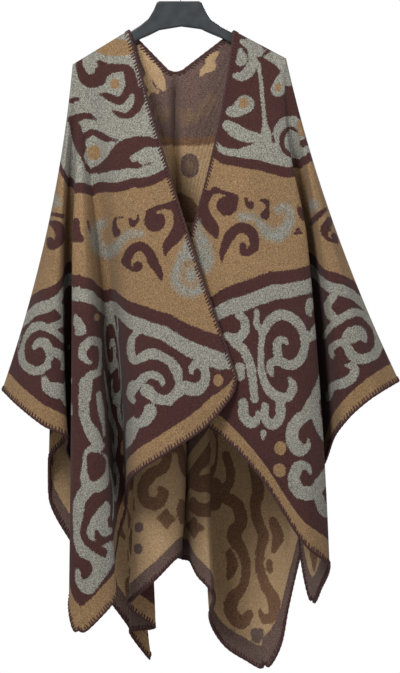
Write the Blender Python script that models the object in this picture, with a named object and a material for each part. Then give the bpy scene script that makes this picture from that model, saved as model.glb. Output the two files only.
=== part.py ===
"""A blanket poncho, open down the front, that hangs on a plastic coat hanger.

Metres, +Z up. The origin is where a rail carries the hook, and the front faces -Y.
The cloth is one flat rectangle with a slit from the middle of its front edge to a
little past the shoulder line. It hangs from the hanger's two ends in hang lines,
which run from the shoulder line to the cut edge. Each table row below is one hang
line, on the crest, on the wall or in the valley of a fold.
"""

from collections import namedtuple
from math import cos, pi, radians, sin

import bmesh
import bpy
import numpy as np

MM = 0.001

# The flat cloth
HALF_WIDTH = 0.690
FRONT_LENGTH = 0.665
BACK_LENGTH = 0.850
NECK_SLIT = 0.095
CORNER_RADIUS = 0.024
WALL = 0.0024

# Where the cloth turns over the shoulder line
FOLD_RADIUS = 0.0068
SEAM_GAP = 0.0003
SHOULDER = 0.100
TIP_LINE = 0.350
NECK_LINE = 0.090
FOLDS_START = 0.36

# The slit's end, behind the neck, and the corner where its rim turns up
SLIT_END_X = -0.010
SLIT_END_Y = 0.008
SLIT_END_DROP = 0.212
NECK_CORNER_RISE = 0.001
NECK_CORNER_SHARE = 0.12
NECK_CORNER_LINE = 0.018
NECK_CORNER_CUT = 0.008

# Spacing of the cloth's grid
FRONT_STEP = 0.025
BACK_STEP = 0.030
HALVINGS = 40
SHARP_EDGE = 60

# The hanger and its hook
PLATE_DROP = 0.095
HANGER_THICKNESS = 0.0084
HANGER_ROUND = 0.003
HOOK_WIRE = 0.0036
HOOK_BORE = 0.030
HOOK_START = -50
HOOK_END = 212
HOOK_BEND_DROP = 0.080
HOOK_SHANK_PULL = 0.014
HOOK_ARC_PULL = 0.012
HOOK_ARC_POINTS = 30
HOOK_BEND_POINTS = 8

# Where a line starts: its place along the cut edge and on the flat cloth, then in space
Top = namedtuple("Top", "name edge across down x y drop")
# A line's place along the cut edge in mm, its middle, and its low end on the cut edge
Line = namedtuple("Line", "name edge mid_x mid_y low_x low_y low_drop")
# A station of the hanger in mm: how far its top and bottom edges lie below the rail
Station = namedtuple("Station", "x top bottom")
Quarter = namedtuple("Quarter", "length facing tops lines")

FRONT_LEFT = (
    Line("front edge", 0, -3, -56, 96, -78, 728),
    Line("panel middle", 75, -38, -66, 40, -90, 794),
    Line("panel outer", 150, -71, -64, -25, -90, 838),
    Line("panel turn", 215, -97, -48, -73, -70, 870),
    Line("first valley wall", 270, -109, -22, -87, -24, 888),
    Line("first valley", 345, -117, 2, -92, 40, 935),
    Line("first valley floor", 410, -126, 4, -106, 42, 985),
    Line("ridge right wall", 500, -134, -24, -112, -20, 1030),
    Line("ridge right", 580, -140, -52, -106, -70, 1069),
    Line("ridge front", 640, -152, -68, -134, -94, 1107),
    Line("front corner", 690, -165, -70, -167, -98, 1134),
    Line("ridge left", 750, -178, -54, -182, -78, 1091),
    Line("second valley wall", 850, -174, -8, -166, 0, 1000),
    Line("second valley", 940, -178, 16, -166, 52, 915),
    Line("second valley floor", 1010, -186, 16, -180, 54, 862),
    Line("sleeve wall", 1075, -192, -6, -190, 4, 832),
    Line("sleeve inner", 1130, -194, -26, -186, -44, 816),
    Line("sleeve middle", 1225, -203, -38, -226, -60, 792),
    Line("sleeve outer", 1300, -214, -24, -269, -34, 759),
    Line("wrist", 1355, -219, 0, -294, 0, 736),
)

FRONT_RIGHT = (
    Line("front edge", 0, 30, -36, -76, -14, 726),
    Line("panel hidden", 90, 48, -46, -8, -38, 769),
    Line("panel middle", 170, 73, -56, 59, -58, 804),
    Line("panel outer", 270, 117, -62, 129, -72, 876),
    Line("panel low", 420, 180, -58, 203, -72, 988),
    Line("panel turn", 500, 217, -38, 243, -22, 1028),
    Line("return", 580, 210, -4, 232, 36, 1063),
    Line("front corner", 690, 201, 20, 218, 72, 1092),
    Line("return inner", 800, 198, 36, 198, 92, 992),
    Line("valley", 930, 208, 30, 222, 84, 895),
    Line("valley wall", 1010, 220, 8, 240, 34, 850),
    Line("sleeve inner", 1080, 224, -12, 251, -10, 814),
    Line("sleeve middle", 1180, 231, -30, 273, -44, 782),
    Line("sleeve outer", 1270, 240, -26, 315, -40, 746),
    Line("wrist", 1355, 248, 0, 358, 0, 721),
)

BACK_LEFT = (
    Line("centre", 0, 0, 70, 2, 118, 1020),
    Line("shade right", 45, -6, 64, -7, 106, 1016),
    Line("lobe turn", 85, -3, 50, -1, 80, 1013),
    Line("lobe right", 125, -10, 38, -7, 50, 1015),
    Line("lobe middle", 200, -38, 34, -46, 30, 1053),
    Line("lobe left", 270, -68, 38, -80, 38, 1084),
    Line("lobe return", 315, -88, 54, -88, 62, 1096),
    Line("strip right", 400, -84, 70, -44, 80, 1132),
    Line("strip pleat", 530, -106, 82, -86, 104, 1142),
    Line("back corner", 690, -112, 96, -52, 126, 1190),
    Line("side low", 790, -138, 94, -92, 142, 1129),
    Line("side middle", 900, -163, 84, -128, 140, 1080),
    Line("side outer", 1020, -186, 74, -176, 130, 1005),
    Line("outline", 1130, -204, 60, -221, 112, 913),
    Line("pleat out", 1220, -206, 44, -220, 84, 855),
    Line("pleat in", 1320, -196, 30, -192, 58, 815),
    Line("sleeve back", 1425, -206, 26, -230, 48, 787),
    Line("sleeve outer", 1490, -214, 18, -266, 32, 757),
    Line("wrist", 1540, -219, 0, -294, 0, 736),
)

BACK_RIGHT = (
    Line("centre", 0, 0, 70, 2, 118, 1020),
    Line("shade left", 45, 8, 62, 12, 102, 1021),
    Line("lobe middle", 110, 25, 48, 27, 60, 1045),
    Line("lobe right", 170, 46, 38, 48, 42, 1068),
    Line("lobe turn", 215, 56, 48, 55, 66, 1086),
    Line("dark left", 310, 58, 80, 48, 122, 1119),
    Line("dark middle", 430, 76, 100, 70, 160, 1165),
    Line("dark right", 560, 104, 102, 106, 166, 1191),
    Line("back corner", 690, 134, 92, 140, 146, 1206),
    Line("side low", 780, 155, 78, 166, 122, 1165),
    Line("side middle", 890, 172, 70, 178, 112, 1102),
    Line("side outer", 1020, 190, 68, 198, 122, 1017),
    Line("pleat out", 1150, 207, 58, 226, 112, 918),
    Line("pleat in", 1270, 216, 40, 238, 78, 838),
    Line("sleeve inner", 1370, 224, 30, 254, 56, 792),
    Line("sleeve back", 1450, 232, 24, 285, 44, 762),
    Line("wrist", 1540, 248, 0, 358, 0, 721),
)

HANGER = (
    Station(-165, 196, 207),
    Station(-157, 190.5, 208),
    Station(-120, 167.6, 188),
    Station(-86, 147.2, 168),
    Station(-66, 134, 157),
    Station(-54, 124, 152),
    Station(-46, 111, 148),
    Station(-40, 97, 145),
    Station(-36, 95, 143),
    Station(0, 95, 137),
    Station(30, 95, 141),
    Station(34, 97, 142),
    Station(42, 114, 146),
    Station(49, 125, 149),
    Station(66, 137, 156),
    Station(87, 148.2, 167),
    Station(120, 165.4, 184),
    Station(152, 182.4, 200),
    Station(160, 188, 199),
)


def folded(down):
    """How far below the shoulder line the cloth lies, a distance down it from its fold.

    It turns a quarter circle of the fold's radius first and then runs on straight.
    """
    turned = np.minimum(down / FOLD_RADIUS, pi / 2)
    return FOLD_RADIUS * (1 - np.cos(turned)) + np.maximum(down - FOLD_RADIUS * pi / 2, 0)


def shoulder_tops(neck_x, neck_drop, tip_x, tip_drop):
    """The starts of the hang lines on one shoulder, from the neck point to the hanger's tip."""
    return (
        Top("neck point", 0, 0, 0, neck_x, 0, neck_drop),
        Top("hanger tip", TIP_LINE, SHOULDER, 0, tip_x, 0, tip_drop),
    )


def back_tops(shoulder):
    """The same starts with the slit's end before them, behind the neck."""
    neck, tip = shoulder
    slit_end = float(folded(NECK_SLIT))
    corner_down = slit_end - NECK_CORNER_CUT
    corner_x = SLIT_END_X + neck.x * NECK_CORNER_SHARE
    corner_drop = SLIT_END_DROP - NECK_CORNER_RISE
    return (
        Top("slit end", 0, 0, slit_end, SLIT_END_X, SLIT_END_Y, SLIT_END_DROP),
        Top("neck corner", NECK_CORNER_LINE, 0, corner_down, corner_x, SLIT_END_Y, corner_drop),
        neck._replace(edge=NECK_LINE),
        tip,
    )


LEFT_SHOULDER = shoulder_tops(-0.086, 0.144, -0.178, 0.200)
RIGHT_SHOULDER = shoulder_tops(0.087, 0.145, 0.172, 0.190)
QUARTERS = {
    "front_left": Quarter(FRONT_LENGTH, -1, LEFT_SHOULDER, FRONT_LEFT),
    "front_right": Quarter(FRONT_LENGTH, -1, RIGHT_SHOULDER, FRONT_RIGHT),
    "back_left": Quarter(BACK_LENGTH, 1, back_tops(LEFT_SHOULDER), BACK_LEFT),
    "back_right": Quarter(BACK_LENGTH, 1, back_tops(RIGHT_SHOULDER), BACK_RIGHT),
}


def column(rows, name):
    """One named column of a table, as an array."""
    return np.array([getattr(row, name) for row in rows], float)


def smooth_through(knots, values, at):
    """A cubic through the values at the knots.

    The slope at a knot is the harmonic mean of the slopes beside it, and zero where
    the values turn back, so the crest of a fold stays on its row.
    """
    steps = np.diff(knots)
    slopes = np.diff(values) / steps
    before, after = slopes[:-1], slopes[1:]
    turning = before * after <= 0
    inner = np.where(turning, 0, 2 * before * after / np.where(turning, 1, before + after))
    tangents = np.concatenate([slopes[:1], inner, slopes[-1:]])
    i = np.clip(np.searchsorted(knots, at, side="right") - 1, 0, len(steps) - 1)
    s = (at - knots[i]) / steps[i]
    return (
        values[i] * (1 + 2 * s) * (1 - s) ** 2
        + tangents[i] * steps[i] * s * (1 - s) ** 2
        + values[i + 1] * s**2 * (3 - 2 * s)
        + tangents[i + 1] * steps[i] * s**2 * (s - 1)
    )


def hang_line_at(quarter, across, down):
    """The hang line through each flat point: its place along the cut edge, and how far
    down the line the point lies. The line is found by halving, from which side of a
    trial line the point is on."""
    edges = column(quarter.tops, "edge")
    starts_across = column(quarter.tops, "across")
    starts_down = column(quarter.tops, "down")
    low = np.zeros_like(across)
    high = np.full_like(across, HALF_WIDTH + quarter.length)
    for _ in range(HALVINGS):
        edge = (low + high) / 2
        start = np.interp(edge, edges, starts_across), np.interp(edge, edges, starts_down)
        run = np.minimum(edge, HALF_WIDTH) - start[0]
        fall = quarter.length - np.maximum(edge - HALF_WIDTH, 0) - start[1]
        outside = run * (down - start[1]) < fall * (across - start[0])
        low = np.where(outside, edge, low)
        high = np.where(outside, high, edge)
    share = np.hypot(across - start[0], down - start[1]) / np.hypot(run, fall)
    return edge, share


def parabola(share, start, middle, low):
    """A curve through three values, at the shares 0, a half and 1."""
    left = 1 - share
    return left * (left - share) * start + 4 * share * left * middle + share * (share - left) * low


def tip_cone(quarter, edge, share):
    """Where the cloth lies near the hanger's tip, as a plain cone with no folds: between
    the first and the last hang line from the tip, at each point's share of its own line."""
    tip = quarter.tops[-1]
    edges = column(quarter.lines, "edge") * MM
    ends = np.array([TIP_LINE, edges[-1]])
    round_tip = np.clip((edge - TIP_LINE) / (edges[-1] - TIP_LINE), 0, 1)
    place = []
    for axis, start in (("x", tip.x), ("y", tip.y)):
        middle = smooth_through(edges, column(quarter.lines, f"mid_{axis}") * MM, ends)
        low = smooth_through(edges, column(quarter.lines, f"low_{axis}") * MM, ends)
        first, last = (parabola(share, start, middle[i], low[i]) for i in (0, 1))
        place.append(first + (last - first) * round_tip)
    return place


def hung(quarter, across, down):
    """Where each flat point hangs. A hang line is a parabola through its start, its
    middle and its low end, and the cloth turns round the fold's radius at the shoulder."""
    straight = folded(down) * quarter.length / folded(quarter.length)
    edge, share = hang_line_at(quarter, across, straight)
    top_edges = column(quarter.tops, "edge")
    line_edges = column(quarter.lines, "edge") * MM

    def top(name):
        return np.interp(edge, top_edges, column(quarter.tops, name))

    def line(name):
        return smooth_through(line_edges, column(quarter.lines, name) * MM, edge)

    x = parabola(share, top("x"), line("mid_x"), line("low_x"))
    y = parabola(share, top("y"), line("mid_y"), line("low_y"))
    drop = top("drop") + share * (line("low_drop") - top("drop"))
    cone_x, cone_y = tip_cone(quarter, edge, share)
    folding = np.clip(share / FOLDS_START, 0, 1)
    folding = np.where(edge > TIP_LINE, folding**2 * (3 - 2 * folding), 1)
    x = cone_x + (x - cone_x) * folding
    y = cone_y + (y - cone_y) * folding
    turn = np.sin(np.minimum(down / FOLD_RADIUS, pi / 2))
    y = y + quarter.facing * (SEAM_GAP / 2 + FOLD_RADIUS * turn)
    return np.stack([x, y, -drop], axis=-1)


def spaced(stops, step):
    """Places from the first stop to the last, through each stop, about a step apart."""
    places = [stops[0]]
    for a, b in zip(stops, stops[1:]):
        places.extend(np.linspace(a, b, max(1, round((b - a) / step)) + 1)[1:])
    return np.array(places)


def round_corner(across, down, corner_across, corner_down):
    """Draws a square corner of the flat cloth in to a quarter circle."""
    inward = np.where(corner_across > 0, -1, 1)
    a = np.maximum(CORNER_RADIUS - inward * (across - corner_across), 0)
    b = np.maximum(CORNER_RADIUS - (corner_down - down), 0)
    squeeze = 1 - np.maximum(a, b) / np.maximum(np.hypot(a, b), 1e-9)
    return across + inward * a * squeeze, down - b * squeeze


def quarter_sheet(name):
    """The middle surface of one quarter as a grid of rows down the cloth, its normals
    towards the face that shows outside, and the number of rows beside the slit."""
    quarter = QUARTERS[name]
    turn = FOLD_RADIUS * pi / 2
    behind = quarter.facing > 0
    stops = [turn, NECK_SLIT, quarter.length] if behind else [turn, quarter.length]
    step = BACK_STEP if behind else FRONT_STEP
    rows = np.concatenate([[0, turn / 2], spaced(stops, step)])
    down, across = np.meshgrid(rows, spaced([0, SHOULDER, HALF_WIDTH], step), indexing="ij")
    across, down = round_corner(across, down, HALF_WIDTH, quarter.length)
    if not behind:
        across, down = round_corner(across, down, 0, quarter.length)
    points = hung(quarter, across.ravel(), down.ravel()).reshape(*across.shape, 3)
    normals = np.cross(np.gradient(points, axis=1), np.gradient(points, axis=0))
    normals[0, :, 1] = 0
    normals /= np.linalg.norm(normals, axis=-1, keepdims=True)
    outward = quarter.facing if normals[len(rows) // 2, 2, 1] > 0 else -quarter.facing
    beside_slit = int(np.searchsorted(rows, NECK_SLIT + 1e-6)) if behind else len(rows)
    return points, normals * outward, beside_slit


def wall_parts(points, normals, open_rows):
    """A quarter's two faces and its cut edges, as vertices and faces."""
    rows, columns = points.shape[:2]
    offset = normals * WALL / 2
    verts = np.concatenate([(points + offset).reshape(-1, 3), (points - offset).reshape(-1, 3)])
    index = np.arange(rows * columns).reshape(rows, columns)
    quads = np.stack([index[:-1, :-1], index[:-1, 1:], index[1:, 1:], index[1:, :-1]], -1).reshape(-1, 4)
    under = rows * columns
    borders = [index[0], index[-1], index[:, -1], index[:open_rows, 0]]
    edges = [np.stack([b[:-1], b[1:], b[1:] + under, b[:-1] + under], -1) for b in borders]
    return verts, np.concatenate([quads, quads[:, ::-1] + under, *edges])


def material(name, colour, roughness, metallic=0.0):
    made = bpy.data.materials.new(name)
    made.use_nodes = True
    shader = made.node_tree.nodes["Principled BSDF"]
    shader.inputs["Base Color"].default_value = (*colour, 1)
    shader.inputs["Roughness"].default_value = roughness
    shader.inputs["Metallic"].default_value = metallic
    return made


def mesh_object(name, verts, faces, finish):
    """One closed object: doubles merged, faces turned out, round parts shaded smooth."""
    mesh = bpy.data.meshes.new(name)
    mesh.from_pydata([tuple(v) for v in verts], [], [tuple(face) for face in faces])
    bm = bmesh.new()
    bm.from_mesh(mesh)
    bmesh.ops.remove_doubles(bm, verts=bm.verts, dist=1e-6)
    bmesh.ops.recalc_face_normals(bm, faces=bm.faces)
    bm.to_mesh(mesh)
    bm.free()
    mesh.materials.append(finish)
    mesh.shade_smooth()
    mesh.set_sharp_from_angle(angle=radians(SHARP_EDGE))
    made = bpy.data.objects.new(name, mesh)
    bpy.context.scene.collection.objects.link(made)
    return made


def make_front(name, finish):
    points, normals, open_rows = quarter_sheet(name)
    return mesh_object(name, *wall_parts(points, normals, open_rows), finish)


def make_back(finish):
    """The back is one stretch of cloth: its halves share the middle line below the slit."""
    left, right = quarter_sheet("back_left"), quarter_sheet("back_right")
    slit_rows = left[2]
    shared = left[1][slit_rows - 1 :, 0] + right[1][slit_rows - 1 :, 0]
    shared /= np.linalg.norm(shared, axis=-1, keepdims=True)
    left[1][slit_rows - 1 :, 0] = shared
    right[1][slit_rows - 1 :, 0] = shared
    left_verts, left_faces = wall_parts(*left)
    right_verts, right_faces = wall_parts(*right)
    verts = np.concatenate([left_verts, right_verts])
    faces = np.concatenate([left_faces, right_faces + len(left_verts)])
    return mesh_object("back", verts, faces, finish)


def make_hanger(finish):
    """A bar swept from tip to tip: its section is a rounded oblong between the two edges."""
    corner_turns = (0, 45, 90)
    flat = HANGER_THICKNESS / 2 - HANGER_ROUND
    rings = []
    for station in HANGER:
        top = -station.top * MM - HANGER_ROUND
        bottom = -station.bottom * MM + HANGER_ROUND
        centres = ((flat, top), (-flat, top), (-flat, bottom), (flat, bottom))
        for quarter_turn, (y, z) in enumerate(centres):
            for turn in corner_turns:
                angle = radians(90 * quarter_turn + turn)
                rings.append((station.x * MM, y + HANGER_ROUND * cos(angle), z + HANGER_ROUND * sin(angle)))
    around = len(corner_turns) * 4
    faces = []
    for ring in range(len(HANGER) - 1):
        for i in range(around):
            a, b = ring * around + i, ring * around + (i + 1) % around
            faces.append((a, b, b + around, a + around))
    verts = rings + [tuple(np.mean(rings[:around], axis=0)), tuple(np.mean(rings[-around:], axis=0))]
    last = (len(HANGER) - 1) * around
    for i in range(around):
        j = (i + 1) % around
        faces.append((j, i, len(rings)))
        faces.append((last + i, last + j, len(rings) + 1))
    return mesh_object("hanger", verts, faces, finish)


def hook_route():
    """The wire's middle line: a straight shank, a bend to the side, and the round hook."""
    radius = HOOK_BORE + HOOK_WIRE / 2
    turns = np.radians(np.linspace(HOOK_START, HOOK_END, HOOK_ARC_POINTS))
    arc = np.stack([radius * np.cos(turns), radius * np.sin(turns) - HOOK_BORE], -1)
    shank_end = np.array([0.0, -HOOK_BEND_DROP])
    heading = np.array([-sin(turns[0]), cos(turns[0])])
    rise = np.array([0.0, HOOK_SHANK_PULL])
    t = np.linspace(0, 1, HOOK_BEND_POINTS + 1)[:-1, None]
    bend = (
        (1 - t) ** 3 * shank_end
        + 3 * t * (1 - t) ** 2 * (shank_end + rise)
        + 3 * t**2 * (1 - t) * (arc[0] - heading * HOOK_ARC_PULL)
        + t**3 * arc[0]
    )
    foot = np.array([[0.0, -PLATE_DROP + SEAM_GAP]])
    return np.concatenate([foot, bend, arc])


def make_hook(finish):
    curve = bpy.data.curves.new("hook", "CURVE")
    curve.dimensions = "3D"
    curve.bevel_depth = HOOK_WIRE / 2
    curve.bevel_resolution = 2
    curve.use_fill_caps = True
    route = hook_route()
    spline = curve.splines.new("POLY")
    spline.points.add(len(route) - 1)
    for point, (x, z) in zip(spline.points, route):
        point.co = (x, 0, z, 1)
    curve.materials.append(finish)
    made = bpy.data.objects.new("hook", curve)
    bpy.context.scene.collection.objects.link(made)
    return made


def main():
    for old in list(bpy.data.objects):
        bpy.data.objects.remove(old, do_unlink=True)
    cloth = material("patterned_knit", (0.17, 0.12, 0.08), 0.95)
    plastic = material("black_plastic", (0.03, 0.034, 0.038), 0.45)
    steel = material("plated_steel", (0.55, 0.55, 0.56), 0.3, 1.0)
    make_front("front_left", cloth)
    make_front("front_right", cloth)
    make_back(cloth)
    make_hanger(plastic)
    make_hook(steel)


main()
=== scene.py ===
"""The looks of a blanket poncho, open down the front, that hangs on a plastic coat hanger.

Metres, +Z up, the front faces -Y. The cloth is one flat rectangle with a slit. A flat
point has a place across, from the middle line, and a place down, from the shoulder line.
It hangs where the hang lines of the tables put it, as in the part's own source.
"""

from collections import namedtuple
from math import pi, radians

import bpy
import numpy as np
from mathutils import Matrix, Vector

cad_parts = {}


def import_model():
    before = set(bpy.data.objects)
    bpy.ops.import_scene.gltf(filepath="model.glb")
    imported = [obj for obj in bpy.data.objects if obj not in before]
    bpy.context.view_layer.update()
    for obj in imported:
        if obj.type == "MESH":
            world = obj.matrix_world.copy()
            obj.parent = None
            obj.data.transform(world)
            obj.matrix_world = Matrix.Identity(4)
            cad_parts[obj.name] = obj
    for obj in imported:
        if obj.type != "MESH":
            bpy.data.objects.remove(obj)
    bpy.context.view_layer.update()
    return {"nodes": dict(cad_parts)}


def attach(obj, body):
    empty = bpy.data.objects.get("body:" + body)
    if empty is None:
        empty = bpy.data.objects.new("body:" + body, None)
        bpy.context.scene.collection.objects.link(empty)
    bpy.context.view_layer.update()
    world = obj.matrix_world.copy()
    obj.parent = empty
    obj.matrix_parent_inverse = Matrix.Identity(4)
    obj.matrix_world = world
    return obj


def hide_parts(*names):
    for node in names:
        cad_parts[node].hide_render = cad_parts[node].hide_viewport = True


MM = 0.001

# The flat cloth, as in the part
HALF_WIDTH = 0.690
FRONT_LENGTH = 0.665
BACK_LENGTH = 0.850
NECK_SLIT = 0.095
CORNER_RADIUS = 0.024
WALL = 0.0024
FOLD_RADIUS = 0.0068
SEAM_GAP = 0.0003
SHOULDER = 0.100
TIP_LINE = 0.350
NECK_LINE = 0.090
FOLDS_START = 0.36
SLIT_END_X = -0.010
SLIT_END_Y = 0.008
SLIT_END_DROP = 0.212
NECK_CORNER_RISE = 0.001
NECK_CORNER_SHARE = 0.12
NECK_CORNER_LINE = 0.018
NECK_CORNER_CUT = 0.008
HALVINGS = 40

# How a stroke is laid, in mm: its steps, how near and how deep the seen cloth is sought, and
# how much farther than the nearest point still counts
STROKE_STEP = 2.5
SEEN_NEAR = 6.0
SEEN_DEPTH = 4.0
SEEN_SLACK = 0.1

# A stroke's reach over the flat cloth, and that behind the neck, in mm. It is counted from
# so many half widths out, and beyond it the distance to the stroke grows at a slope.
STROKE_REACH = 24.0
NECK_REACH = 90.0
REACH_WIDTHS = 1.6
REACH_SLOPE = 0.5

# The room searched round a stroke and round a crease, in mm
STROKE_MARGIN = 12.0
CREASE_MARGIN = 60.0

# In mm: how far grey and tan run on under the dark, the distance from a yarn where the cloth
# is still bare of it, and a far distance
UNDERLAP = 6.0
BARE = 50.0
FAR = 1000.0

# How far a borrowed stroke's middle keeps from the places of one's own, in mm: between the
# two fronts, between the back's halves, and from the fronts to the back
FRONTS_APART = 52.0
HALVES_APART = 60.0
BACK_APART = 55.0

# Small values that keep a comparison and a division safe
SMALL = 1e-6
TINY = 1e-9

# Spacing of the fine grids, the rows round the shoulder's fold, and the column in which a
# grid's outer side is told
FRONT_STEP = 0.0037
BACK_STEP = 0.0054
FOLD_ROWS = 4
OUTWARD_COLUMN = 12
# The first 10 mm beside the slit spread over half the neck, so they have narrow columns
NECK_SPREAD = 0.010
NECK_COLUMNS = 12

# The narrow crease down the cloth from the slit's end: its depth and half width, and the
# drops between which it comes in and goes out
NECK_CREASE_DEPTH = 0.018
NECK_CREASE_WIDTH = 0.007
NECK_CREASE_DROPS = (0.214, 0.245, 0.430, 0.520)

# Behind the neck the stripes follow the height, in mm: above a drop and within a half width,
# coming in over a length inside each, with their middle shifted a little
NECK_BLEND_DROP = 470.0
NECK_BLEND_FALL = 150.0
NECK_BLEND_HALF = 110.0
NECK_BLEND_SIDE = 50.0
NECK_SHIFT = 4.0

# The yoke behind the neck, in mm: its half width, the drop of its middle, how far down it
# reaches from there, and half the width of the strip along its edge
YOKE_HALF = 105.0
YOKE_MIDDLE = 150.0
YOKE_DEEP = 175.0
YOKE_STRIP = 4.0

# The design on the cloth, in mm: how far behind the shoulder line its middle lies, then the
# stripes' middles and half widths, and the border's width
MIDDLE_DOWN = (BACK_LENGTH - FRONT_LENGTH) / 2 / MM
RING_HALF = 8.0
STRIP_MIDDLE = -14.0
STRIP_HALF = 6.5
DARK_HALF = 9.5
GREY_MIDDLE = 20.0
GREY_HALF = 10.5
BORDER = 32.0

# The blanket stitch round the cut edges: a stitch's pitch, length and yarn, how far it is off
# its place and leans, the least and the most of its length, and how high the yarn's middle
# lies on the cloth's face
STITCH_PITCH = 0.0056
STITCH_LENGTH = 0.0075
STITCH_YARN = 0.0012
STITCH_OFF = 0.0006
STITCH_LEAN = 0.0009
STITCH_SHORT = 0.85
STITCH_LONG = 1.15
STITCH_RAISED = WALL / 2 + STITCH_YARN * 0.6
STITCH_SIDES = 5
STITCH_SEEDS = {"front_left": 0, "front_right": 1, "back": 7}

# A stitch's points from one face round the edge to the other: how far in from the edge each
# is, in stitch lengths, and how high over the middle, where 1 lies on a face
STITCH_AWAY = np.array([1.0, 0.75, 0.15, -0.12, 0.15, 0.75, 1.0])[None, :, None]
STITCH_OVER = np.array([0.15, 1, 1, 0, -1, -1, -0.15])[None, :, None]

# The yarn along the edge under the stitches: its half thickness, its steps, how far it
# wanders from face to face and by what share it swells once a pitch
EDGE_YARN = 0.0022
EDGE_STEP = 0.0035
EDGE_WANDER = 0.00025
EDGE_SWELL = 0.14
EDGE_SIDES = 7

# A fixed slanting line, from which a tube's rings take their turn
SLANT = np.array([0.31, 0.52, 0.79])

# Faces that meet more steeply than this keep a sharp edge
SHARP_ANGLE = radians(70)

# The pitch of the knit's ribs and of its rows
KNIT_RIB = 0.0031
KNIT_ROW = 0.0025

# The level camera: its place, how high its view is where the cloth hangs, its sensor in mm,
# and how far it sees
CAMERA_X = 0.031
CAMERA_AWAY = 8
CAMERA_Z = -0.648
VIEW_HEIGHT = 1.110
SENSOR = 36
SIGHT = 40

# The soft lights, with the length of their side and their watts, and the point they face
Light = namedtuple("Light", "name place size power")
LIGHTS = (
    Light("key_light", (-1.3, -2.6, 1.3), 1.0, 92),
    Light("fill_light", (2.2, -2.4, 0.5), 1.6, 24),
    Light("back_light", (0.9, 2.9, 1.0), 1.4, 70),
)
LIGHTS_AIM = (0.03, 0, -0.65)

# How bright the white room is for the cloth, beside 1 for the white seen behind it
ROOM_LIGHT = 0.42

# Where a hang line starts: its place along the cut edge, the flat point and the hung one
Top = namedtuple("Top", "name edge across down x y drop")
# A hang line in mm: its place along the cut edge, its middle, and its low end with its drop
Line = namedtuple("Line", "name edge mid_x mid_y low_x low_y low_drop")
# A quarter of the cloth: its length, the way it faces along y, and its hang lines
Quarter = namedtuple("Quarter", "length facing tops lines")

# A brush stroke of one yarn's colour: places across and down a window, and half widths
Stroke = namedtuple("Stroke", "name colour window places")
# The same on the cloth, in mm: across, down, x, drop and half width of each place, and how
# far over the flat cloth its seen form reaches, or None where the photo doesn't show it
Laid = namedtuple("Laid", "name colour line reach")
# The points of a cloth in mm: their flat places, and where they hang
Grid = namedtuple("Grid", "across down x y drop")
# A quarter as a fine grid: flat places, hung points, normals, and the rows beside the slit
Sheet = namedtuple("Sheet", "across down points normals beside_slit")

# The photo's scale, its column at x = 0 and the drop below the rail of its top edge, in mm
PHOTO_PIXEL = 1.65
PHOTO_MIDDLE = 181
PHOTO_TOP = 92.5

# Enlarged windows of the photo, in which the design was read: their left and top
# edges in pixels, and the enlarged steps to a pixel
Window = namedtuple("Window", "left top steps")
UPPER_LEFT = Window(30, 40, 8.71)
UPPER_RIGHT = Window(180, 40, 7.84)
SLEEVE_LEFT = Window(0, 180, 7.13)
MIDDLE = Window(130, 180, 7.13)
SLEEVE_RIGHT = Window(240, 200, 7.13)
LOWER_LEFT = Window(0, 380, 6.03)
LOWER_MIDDLE = Window(110, 380, 5.35)
LOWER_RIGHT = Window(200, 400, 5.74)


def stroke(name, colour, window, *places):
    """A stroke from its places in a window."""
    return Stroke(name, colour, window, np.array(places, float))


FRONT_LEFT = (
    Line("front edge", 0, -3, -56, 96, -78, 728),
    Line("panel middle", 75, -38, -66, 40, -90, 794),
    Line("panel outer", 150, -71, -64, -25, -90, 838),
    Line("panel turn", 215, -97, -48, -73, -70, 870),
    Line("first valley wall", 270, -109, -22, -87, -24, 888),
    Line("first valley", 345, -117, 2, -92, 40, 935),
    Line("first valley floor", 410, -126, 4, -106, 42, 985),
    Line("ridge right wall", 500, -134, -24, -112, -20, 1030),
    Line("ridge right", 580, -140, -52, -106, -70, 1069),
    Line("ridge front", 640, -152, -68, -134, -94, 1107),
    Line("front corner", 690, -165, -70, -167, -98, 1134),
    Line("ridge left", 750, -178, -54, -182, -78, 1091),
    Line("second valley wall", 850, -174, -8, -166, 0, 1000),
    Line("second valley", 940, -178, 16, -166, 52, 915),
    Line("second valley floor", 1010, -186, 16, -180, 54, 862),
    Line("sleeve wall", 1075, -192, -6, -190, 4, 832),
    Line("sleeve inner", 1130, -194, -26, -186, -44, 816),
    Line("sleeve middle", 1225, -203, -38, -226, -60, 792),
    Line("sleeve outer", 1300, -214, -24, -269, -34, 759),
    Line("wrist", 1355, -219, 0, -294, 0, 736),
)

FRONT_RIGHT = (
    Line("front edge", 0, 30, -36, -76, -14, 726),
    Line("panel hidden", 90, 48, -46, -8, -38, 769),
    Line("panel middle", 170, 73, -56, 59, -58, 804),
    Line("panel outer", 270, 117, -62, 129, -72, 876),
    Line("panel low", 420, 180, -58, 203, -72, 988),
    Line("panel turn", 500, 217, -38, 243, -22, 1028),
    Line("return", 580, 210, -4, 232, 36, 1063),
    Line("front corner", 690, 201, 20, 218, 72, 1092),
    Line("return inner", 800, 198, 36, 198, 92, 992),
    Line("valley", 930, 208, 30, 222, 84, 895),
    Line("valley wall", 1010, 220, 8, 240, 34, 850),
    Line("sleeve inner", 1080, 224, -12, 251, -10, 814),
    Line("sleeve middle", 1180, 231, -30, 273, -44, 782),
    Line("sleeve outer", 1270, 240, -26, 315, -40, 746),
    Line("wrist", 1355, 248, 0, 358, 0, 721),
)

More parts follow.
